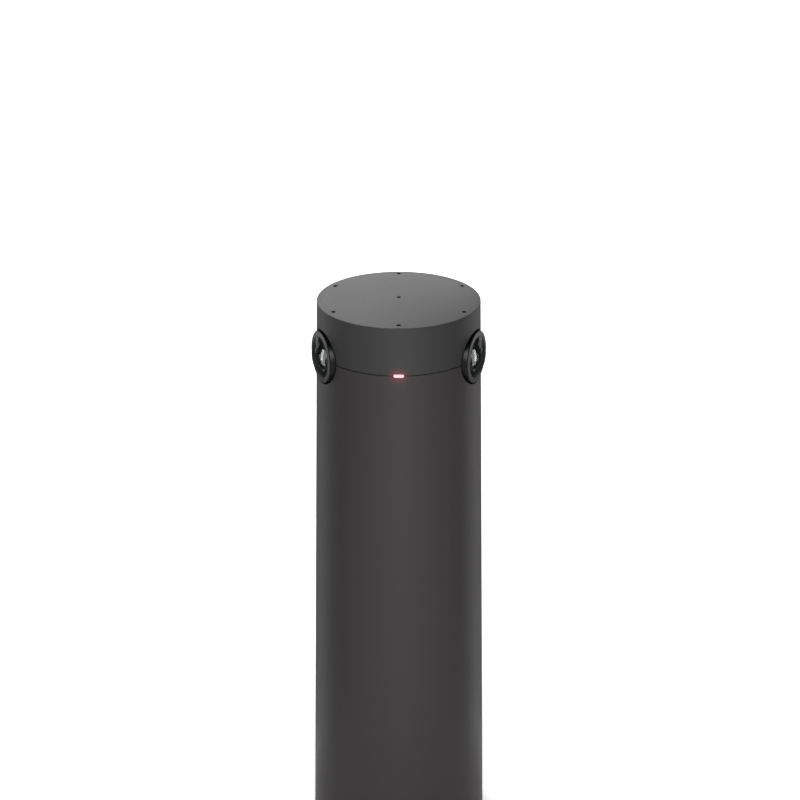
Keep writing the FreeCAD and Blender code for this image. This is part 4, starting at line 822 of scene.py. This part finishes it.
def tripod_insert():
    """The brass insert: a bevelled mouth and a real quarter-inch thread up its bore."""
    (low, bore), (_, outer), (high, _), _ = circles("tripod_insert", UPWARD, ORIGIN)
    mouth = 0.5
    steps = round((high - low - 2 * mouth) / THREAD_PITCH * STEPS_A_PITCH)
    rise = (high - low - 2 * mouth) / steps
    inside = [(low + mouth + rise * step, bore, camera_thread) for step in range(steps + 1)]
    outline = [(low, bore + THREAD_DEPTH + mouth), *inside, (high, bore + THREAD_DEPTH),
               (high, outer), (low + mouth / 2, outer), (low, outer - mouth / 2)]
    shape = turned(bmesh.new(), outline, UPWARD, ORIGIN)
    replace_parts(placed("threaded_insert", shape, "insert_brass"), "tripod_insert")


def foot_ring():
    """The rubber foot: rounded edges, and three fine grooves where it stands."""
    rows = circles("foot_ring", UPWARD, ORIGIN)
    inner = min(radius for _, radius in rows)
    outer = max(radius for _, radius in rows)
    top = rows[-1][0]
    groove = 0.35
    rounding = 0.4
    steps = 192
    outline = [(top, inner), (top, outer), (0, outer)]
    for share in (0.75, 0.5, 0.25):
        middle = inner + (outer - inner) * share
        outline += [(0, middle + groove), (groove, middle + groove / 2),
                    (groove, middle - groove / 2), (0, middle - groove)]
    outline.append((0, inner))
    shape = turned(bmesh.new(), eased(outline, rounding), UPWARD, ORIGIN, steps)
    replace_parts(placed("foot_rubber_ring", shape, "foot_rubber"), "foot_ring")


def reset_button():
    """The button: a rounded edge and a shallow dish for a fingertip or a pin."""
    low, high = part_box("reset_button")
    centre = Vector(((low.x + high.x) / 2, 0, (low.z + high.z) / 2))
    ((tip, stem), (inner, _), (_, flange), (outer, _), _,
     (face, radius)) = circles("reset_button", BACKWARD, centre)
    bevel = 0.1
    rim = 0.3
    dish = 0.25
    outline = [(tip, 0), (tip, stem - bevel), (tip + bevel, stem), (inner, stem), (inner, flange),
               (outer, flange), (outer, radius), (face - rim, radius),
               (face - bevel, radius - 0.8 * bevel)]
    outline += cap_arc(face, radius - rim, face - dish, 8)
    shape = turned(bmesh.new(), outline, BACKWARD, centre, 64)
    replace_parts(placed("dished_button", shape, "button_plastic", body="button"), "reset_button")


def levels(node, axis):
    """The different coordinates of a square-cut node's corners along one axis, in mm."""
    return sorted({round(vertex.co[axis] / MM, 2) for vertex in nodes[node].data.vertices})


def wire(shape, points, radius, sides=8):
    """A round wire along points in mm that share one x."""
    across = Vector((1, 0, 0))
    rows = []
    for index, point in enumerate(points):
        before = points[max(index - 1, 0)]
        after = points[min(index + 1, len(points) - 1)]
        upright = across.cross((after - before).normalized())
        row = []
        for side in range(sides):
            turn = 2 * math.pi * side / sides
            away = (across * math.cos(turn) + upright * math.sin(turn)) * radius
            row.append(shape.verts.new((point + away) * MM))
        rows.append(row)
    for low, high in zip(rows, rows[1:]):
        join_rows(shape, low, high)
    shape.faces.new(rows[0])
    shape.faces.new(rows[-1])


def network_jack():
    """A black lining in the mouth of the network socket, and its eight gold spring contacts."""
    _, left, latch_left, latch_right, right, _ = levels("network_jack", 0)
    _, back, face = levels("network_jack", 1)
    _, floor, ceiling, latch_top, _ = levels("network_jack", 2)
    front = face - 0.4
    wall = 0.35
    gap = 0.01
    shape = bmesh.new()
    loops = []
    for y, inset in ((back, gap), (front, gap), (front, wall), (back + wall, wall)):
        corners = [(left + inset, floor + inset), (right - inset, floor + inset),
                   (right - inset, ceiling - inset), (latch_right - inset, ceiling - inset),
                   (latch_right - inset, latch_top - inset),
                   (latch_left + inset, latch_top - inset),
                   (latch_left + inset, ceiling - inset), (left + inset, ceiling - inset)]
        loops.append([shape.verts.new(Vector((x, y, z)) * MM) for x, z in corners])
    for low, high in zip(loops, loops[1:]):
        join_rows(shape, low, high)
    shape.faces.new(loops[0])
    shape.faces.new(loops[-1])
    placed("jack_lining", shape, "panel_plastic")
    contacts = 8
    pitch = 1.02
    thickness = 0.22
    # Each spring's bends: how far inside the mouth, and how high over its floor
    bends = ((0.9, 0.5), (1.5, 0.7), (8.0, 3.2), (8.7, 3.1))
    root = 1.4
    springs = bmesh.new()
    for index in range(contacts):
        x = (left + right) / 2 + pitch * (index - (contacts - 1) / 2)
        points = [Vector((x, front - inside, floor + height)) for inside, height in bends]
        wire(springs, [*points, Vector((x, back + wall, floor + root))], thickness)
    placed("jack_contacts", springs, "standoff_brass")


def data_contacts():
    """Two rows of gold contacts on the data socket's tongue."""
    low, high = box_mm("data_socket")
    middle = (low + high) / 2
    half_tongue = 0.35
    contacts = 12
    pitch = 0.5
    thickness = 0.12
    root, bend, tip = low.y + 2.4, high.y - 1.3, high.y - 1.1
    shape = bmesh.new()
    for height in (middle.z - half_tongue, middle.z + half_tongue):
        for index in range(contacts):
            x = middle.x + pitch * (index - (contacts - 1) / 2)
            wire(shape, [Vector((x, root, height)), Vector((x, bend, height)),
                         Vector((x, tip, (height * 3 + middle.z) / 4))], thickness, 6)
    placed("data_contacts", shape, "standoff_brass")


for side in SIDES:
    lens_ring(side)
    front_glass(side)
sound_hole_collars()
base_screws()
tripod_insert()
foot_ring()
reset_button()
network_jack()
data_contacts()


# The photograph's camera: its place and lens were found from the rim, the seam and the lens rings
camera_data = bpy.data.cameras.new("photo_camera")
camera_data.lens = 99.1
camera_data.sensor_width = 36.0
camera_data.clip_end = 20.0
camera = bpy.data.objects.new("photo_camera", camera_data)
bpy.context.collection.objects.link(camera)
camera.location = (0.00064, -1.045, 0.68663)
camera.rotation_euler = (math.radians(67.022), 0, 0)
bpy.context.scene.camera = camera


# Lamps: each looks at a point from an azimuth (0 in front, growing to the right) and an elevation
def direction(azimuth, elevation):
    turn, lift = math.radians(azimuth), math.radians(elevation)
    level = math.cos(lift)
    return Vector((math.sin(turn) * level, -math.cos(turn) * level, math.sin(lift)))


def softbox(name, target, azimuth, elevation, distance, size, radiance, roll=0.0):
    """A soft box that looks at its target; the roll turns its upright edges."""
    lamp = bpy.data.lights.new(name, "AREA")
    lamp.shape = "RECTANGLE"
    lamp.size, lamp.size_y = size
    lamp.energy = radiance * math.pi * size[0] * size[1]
    thing = bpy.data.objects.new(name, lamp)
    bpy.context.collection.objects.link(thing)
    away = direction(azimuth, elevation)
    thing.location = target + away * distance
    facing = (-away).to_track_quat("-Z", "Y").to_matrix()
    thing.rotation_euler = (facing @ Matrix.Rotation(math.radians(roll), 3, "Z")).to_euler()
    thing.visible_camera = False
    return thing


def lights(lamps, pieces, state="INCLUDE"):
    """These lamps light only these pieces, or, with EXCLUDE, all but these pieces."""
    lit = bpy.data.collections.new(lamps[0].name + "_lights")
    for piece in pieces:
        lit.objects.link(piece)
    for member in lit.collection_objects:
        member.light_linking.link_state = state
    for lamp in lamps:
        lamp.light_linking.receiver_collection = lit


# What the lamps look at, and how far the lens fronts are from the column's middle
COLUMN_MIDDLE = Vector((0, 0, 0.2))
FLANK_MIDDLE = Vector((0, 0, 0.17))
PLATE = Vector((0, 0, 0.3))
PLATE_FRONT_LEFT = PLATE + Vector((-0.037, -0.03, 0))
FACE_TOP = Vector((0, 0, 0.012))
LENS_REACH = 0.045
GLINT_OFFSET = 0.006
FLANK_RADIANCE = {"left": 1.8, "right": 1.95}
lens_fronts = [bpy.data.objects[side + part] for side in SIDES
               for part in ("_dome", "_ring_tube", "_ring_face")]
lights([softbox("front_strip", COLUMN_MIDDLE, azimuth=3, elevation=2.9, distance=0.8,
                size=(0.17, 0.5), radiance=15.8),
        softbox("plate_box", PLATE, azimuth=-158, elevation=27.5, distance=1.13,
                size=(0.5, 0.35), radiance=14.8),
        softbox("back_box", COLUMN_MIDDLE, azimuth=172, elevation=3.6, distance=1.6,
                size=(0.7, 0.5), radiance=11.8)],
       lens_fronts, "EXCLUDE")
lights([softbox("top_box", PLATE_FRONT_LEFT, azimuth=0, elevation=90, distance=0.12,
                size=(0.05, 0.05), radiance=21.5)],
       [nodes["head_cap"]])
for side, sign in SIDES.items():
    lens_place = SEAM_CENTRE + lens_axis(side) * LENS_REACH
    across = Vector((-sign * math.sin(LENS_TURN), -math.cos(LENS_TURN), 0))
    glint = lens_place + across * GLINT_OFFSET
    lights([softbox(side + "_strip", glint, azimuth=88.5 * sign, elevation=-3, distance=0.085,
                    size=(0.014, 0.044), radiance=9.0, roll=3 * sign),
            softbox(side + "_fill", glint, azimuth=81 * sign, elevation=-8, distance=0.088,
                    size=(0.026, 0.066), radiance=3.5, roll=14 * sign)],
           [bpy.data.objects[side + "_dome"]])
    lights([softbox(side + "_barrel_box", lens_place, azimuth=-50 * sign, elevation=22,
                    distance=0.4, size=(0.12, 0.22), radiance=34.0)],
           [bpy.data.objects[side + "_ring_tube"]])
    lights([softbox(side + "_face_box", lens_place + FACE_TOP, azimuth=62 * sign, elevation=48,
                    distance=0.045, size=(0.02, 0.02), radiance=25.0)],
           [bpy.data.objects[side + "_ring_face"]])
    lights([softbox(side + "_flank", FLANK_MIDDLE, azimuth=107 * sign, elevation=0,
                    distance=0.105, size=(0.042, 0.34), radiance=FLANK_RADIANCE[side])],
           [nodes["head_cap"], nodes["body_sleeve"]])


# Cards that only reflections show: they keep the lenses dark, with one grey band. Each is bent
# round its lens at CARD_REACH, between two of these heights and two of these azimuths.
CARD_REACH = 0.1
CARD_LOW, BAND_LOW, BAND_HIGH, CARD_HIGH = 0.002, 0.274, 0.293, 0.4
CARD_FRONT, CARD_MIDDLE, CARD_BACK = 62, 111, 176
OVERHEAD_HALF, OVERHEAD_HEIGHT = 0.35, 0.75


def card_shade(name, level):
    """A black card with a faint even glow."""
    shade = bpy.data.materials.new(name)
    shade.use_nodes = True
    shader = shade.node_tree.nodes["Principled BSDF"]
    shader.inputs["Base Color"].default_value = (0.004, 0.004, 0.004, 1)
    shader.inputs["Specular IOR Level"].default_value = 0.0
    shader.inputs["Emission Color"].default_value = (0.93 * level, level, 0.97 * level, 1)
    shader.inputs["Emission Strength"].default_value = 1.0
    return shade


def card(name, rows, shade):
    """A card through rows of points, with as many points in each row."""
    shape = bmesh.new()
    lines = [[shape.verts.new(point) for point in row] for row in rows]
    for low, high in zip(lines, lines[1:]):
        for step in range(len(low) - 1):
            shape.faces.new((low[step], low[step + 1], high[step + 1], high[step]))
    mesh = bpy.data.meshes.new(name)
    shape.to_mesh(mesh)
    shape.free()
    mesh.materials.append(shade)
    thing = bpy.data.objects.new(name, mesh)
    bpy.context.collection.objects.link(thing)
    thing.visible_camera = False
    thing.visible_diffuse = False
    thing.visible_shadow = False


def curved_card(name, centre, start, end, low, high, shade):
    """A card bent round an upright line, between two azimuths and two heights."""
    steps = 12
    rows = []
    for height in (low, high):
        row = []
        for step in range(steps + 1):
            around = direction(start + (end - start) * step / steps, 0) * CARD_REACH
            row.append((centre.x + around.x, centre.y + around.y, height))
        rows.append(row)
    card(name, rows, shade)


DARK_CARD = card_shade("dark_card", 0.1)
GREY_CARD = card_shade("grey_card", 0.75)
for side, sign in SIDES.items():
    lens_place = SEAM_CENTRE + lens_axis(side) * LENS_REACH
    for part, start, end, low, high, shade in (
            ("_low_card", CARD_FRONT, CARD_BACK, CARD_LOW, BAND_LOW, DARK_CARD),
            ("_front_card", CARD_FRONT, CARD_MIDDLE, BAND_LOW, CARD_HIGH, DARK_CARD),
            ("_high_card", CARD_MIDDLE, CARD_BACK, BAND_HIGH, CARD_HIGH, DARK_CARD),
            ("_band_card", CARD_MIDDLE, CARD_BACK, BAND_LOW, BAND_HIGH, GREY_CARD)):
        curved_card(side + part, lens_place, start * sign, end * sign, low, high, shade)
overhead_rows = [[(x, y, OVERHEAD_HEIGHT) for x in (-OVERHEAD_HALF, OVERHEAD_HALF)]
                 for y in (-OVERHEAD_HALF, OVERHEAD_HALF)]
card("overhead_card", overhead_rows, DARK_CARD)


# Floor and background
def seen_directly(tree):
    """1 for camera, glossy and transmission rays, 0 for the diffuse rays that light the object."""
    path = tree.nodes.new("ShaderNodeLightPath")
    seen = path.outputs["Is Camera Ray"]
    for label in ("Is Glossy Ray", "Is Transmission Ray"):
        either = tree.nodes.new("ShaderNodeMath")
        either.operation = "MAXIMUM"
        tree.links.new(seen, either.inputs[0])
        tree.links.new(path.outputs[label], either.inputs[1])
        seen = either.outputs[0]
    return seen


def make_world(ambient):
    """A white surround that lights the object with only a little of its brightness."""
    world = bpy.data.worlds.new("studio")
    world.use_nodes = True
    bpy.context.scene.world = world
    tree = world.node_tree
    background = tree.nodes["Background"]
    background.inputs["Color"].default_value = (1, 1, 1, 1)
    spread = tree.nodes.new("ShaderNodeMapRange")
    spread.inputs["To Min"].default_value = ambient
    spread.inputs["To Max"].default_value = 1.0
    tree.links.new(seen_directly(tree), spread.inputs["Value"])
    tree.links.new(spread.outputs["Result"], background.inputs["Strength"])


def make_floor(half, near, near_glow, far, far_glow):
    """A white floor that glows less round the foot, so that the object's shadow shows there."""
    mesh = bpy.data.meshes.new("floor")
    corners = [(-half, -half, 0), (half, -half, 0), (half, half, 0), (-half, half, 0)]
    mesh.from_pydata(corners, [], [(0, 1, 2, 3)])
    floor = bpy.data.objects.new("floor", mesh)
    bpy.context.collection.objects.link(floor)
    material = bpy.data.materials.new("pale_floor")
    material.use_nodes = True
    tree = material.node_tree
    shader = tree.nodes["Principled BSDF"]
    shader.inputs["Base Color"].default_value = (0.8, 0.8, 0.8, 1)
    shader.inputs["Roughness"].default_value = 0.9
    shader.inputs["Emission Color"].default_value = (1, 1, 1, 1)
    away = tree.nodes.new("ShaderNodeVectorMath")
    away.operation = "LENGTH"
    tree.links.new(tree.nodes.new("ShaderNodeTexCoord").outputs["Object"], away.inputs[0])
    glow = tree.nodes.new("ShaderNodeMapRange")
    for label, value in (("From Min", near), ("From Max", far),
                         ("To Min", near_glow), ("To Max", far_glow)):
        glow.inputs[label].default_value = value
    tree.links.new(away.outputs["Value"], glow.inputs["Value"])
    spread = tree.nodes.new("ShaderNodeMapRange")
    tree.links.new(glow.outputs["Result"], spread.inputs["To Max"])
    tree.links.new(seen_directly(tree), spread.inputs["Value"])
    tree.links.new(spread.outputs["Result"], shader.inputs["Emission Strength"])
    mesh.materials.append(material)


make_world(ambient=0.12)
make_floor(half=6.0, near=0.08, near_glow=0.52, far=0.2, far_glow=0.9)
bpy.context.scene.view_settings.view_transform = "Standard"
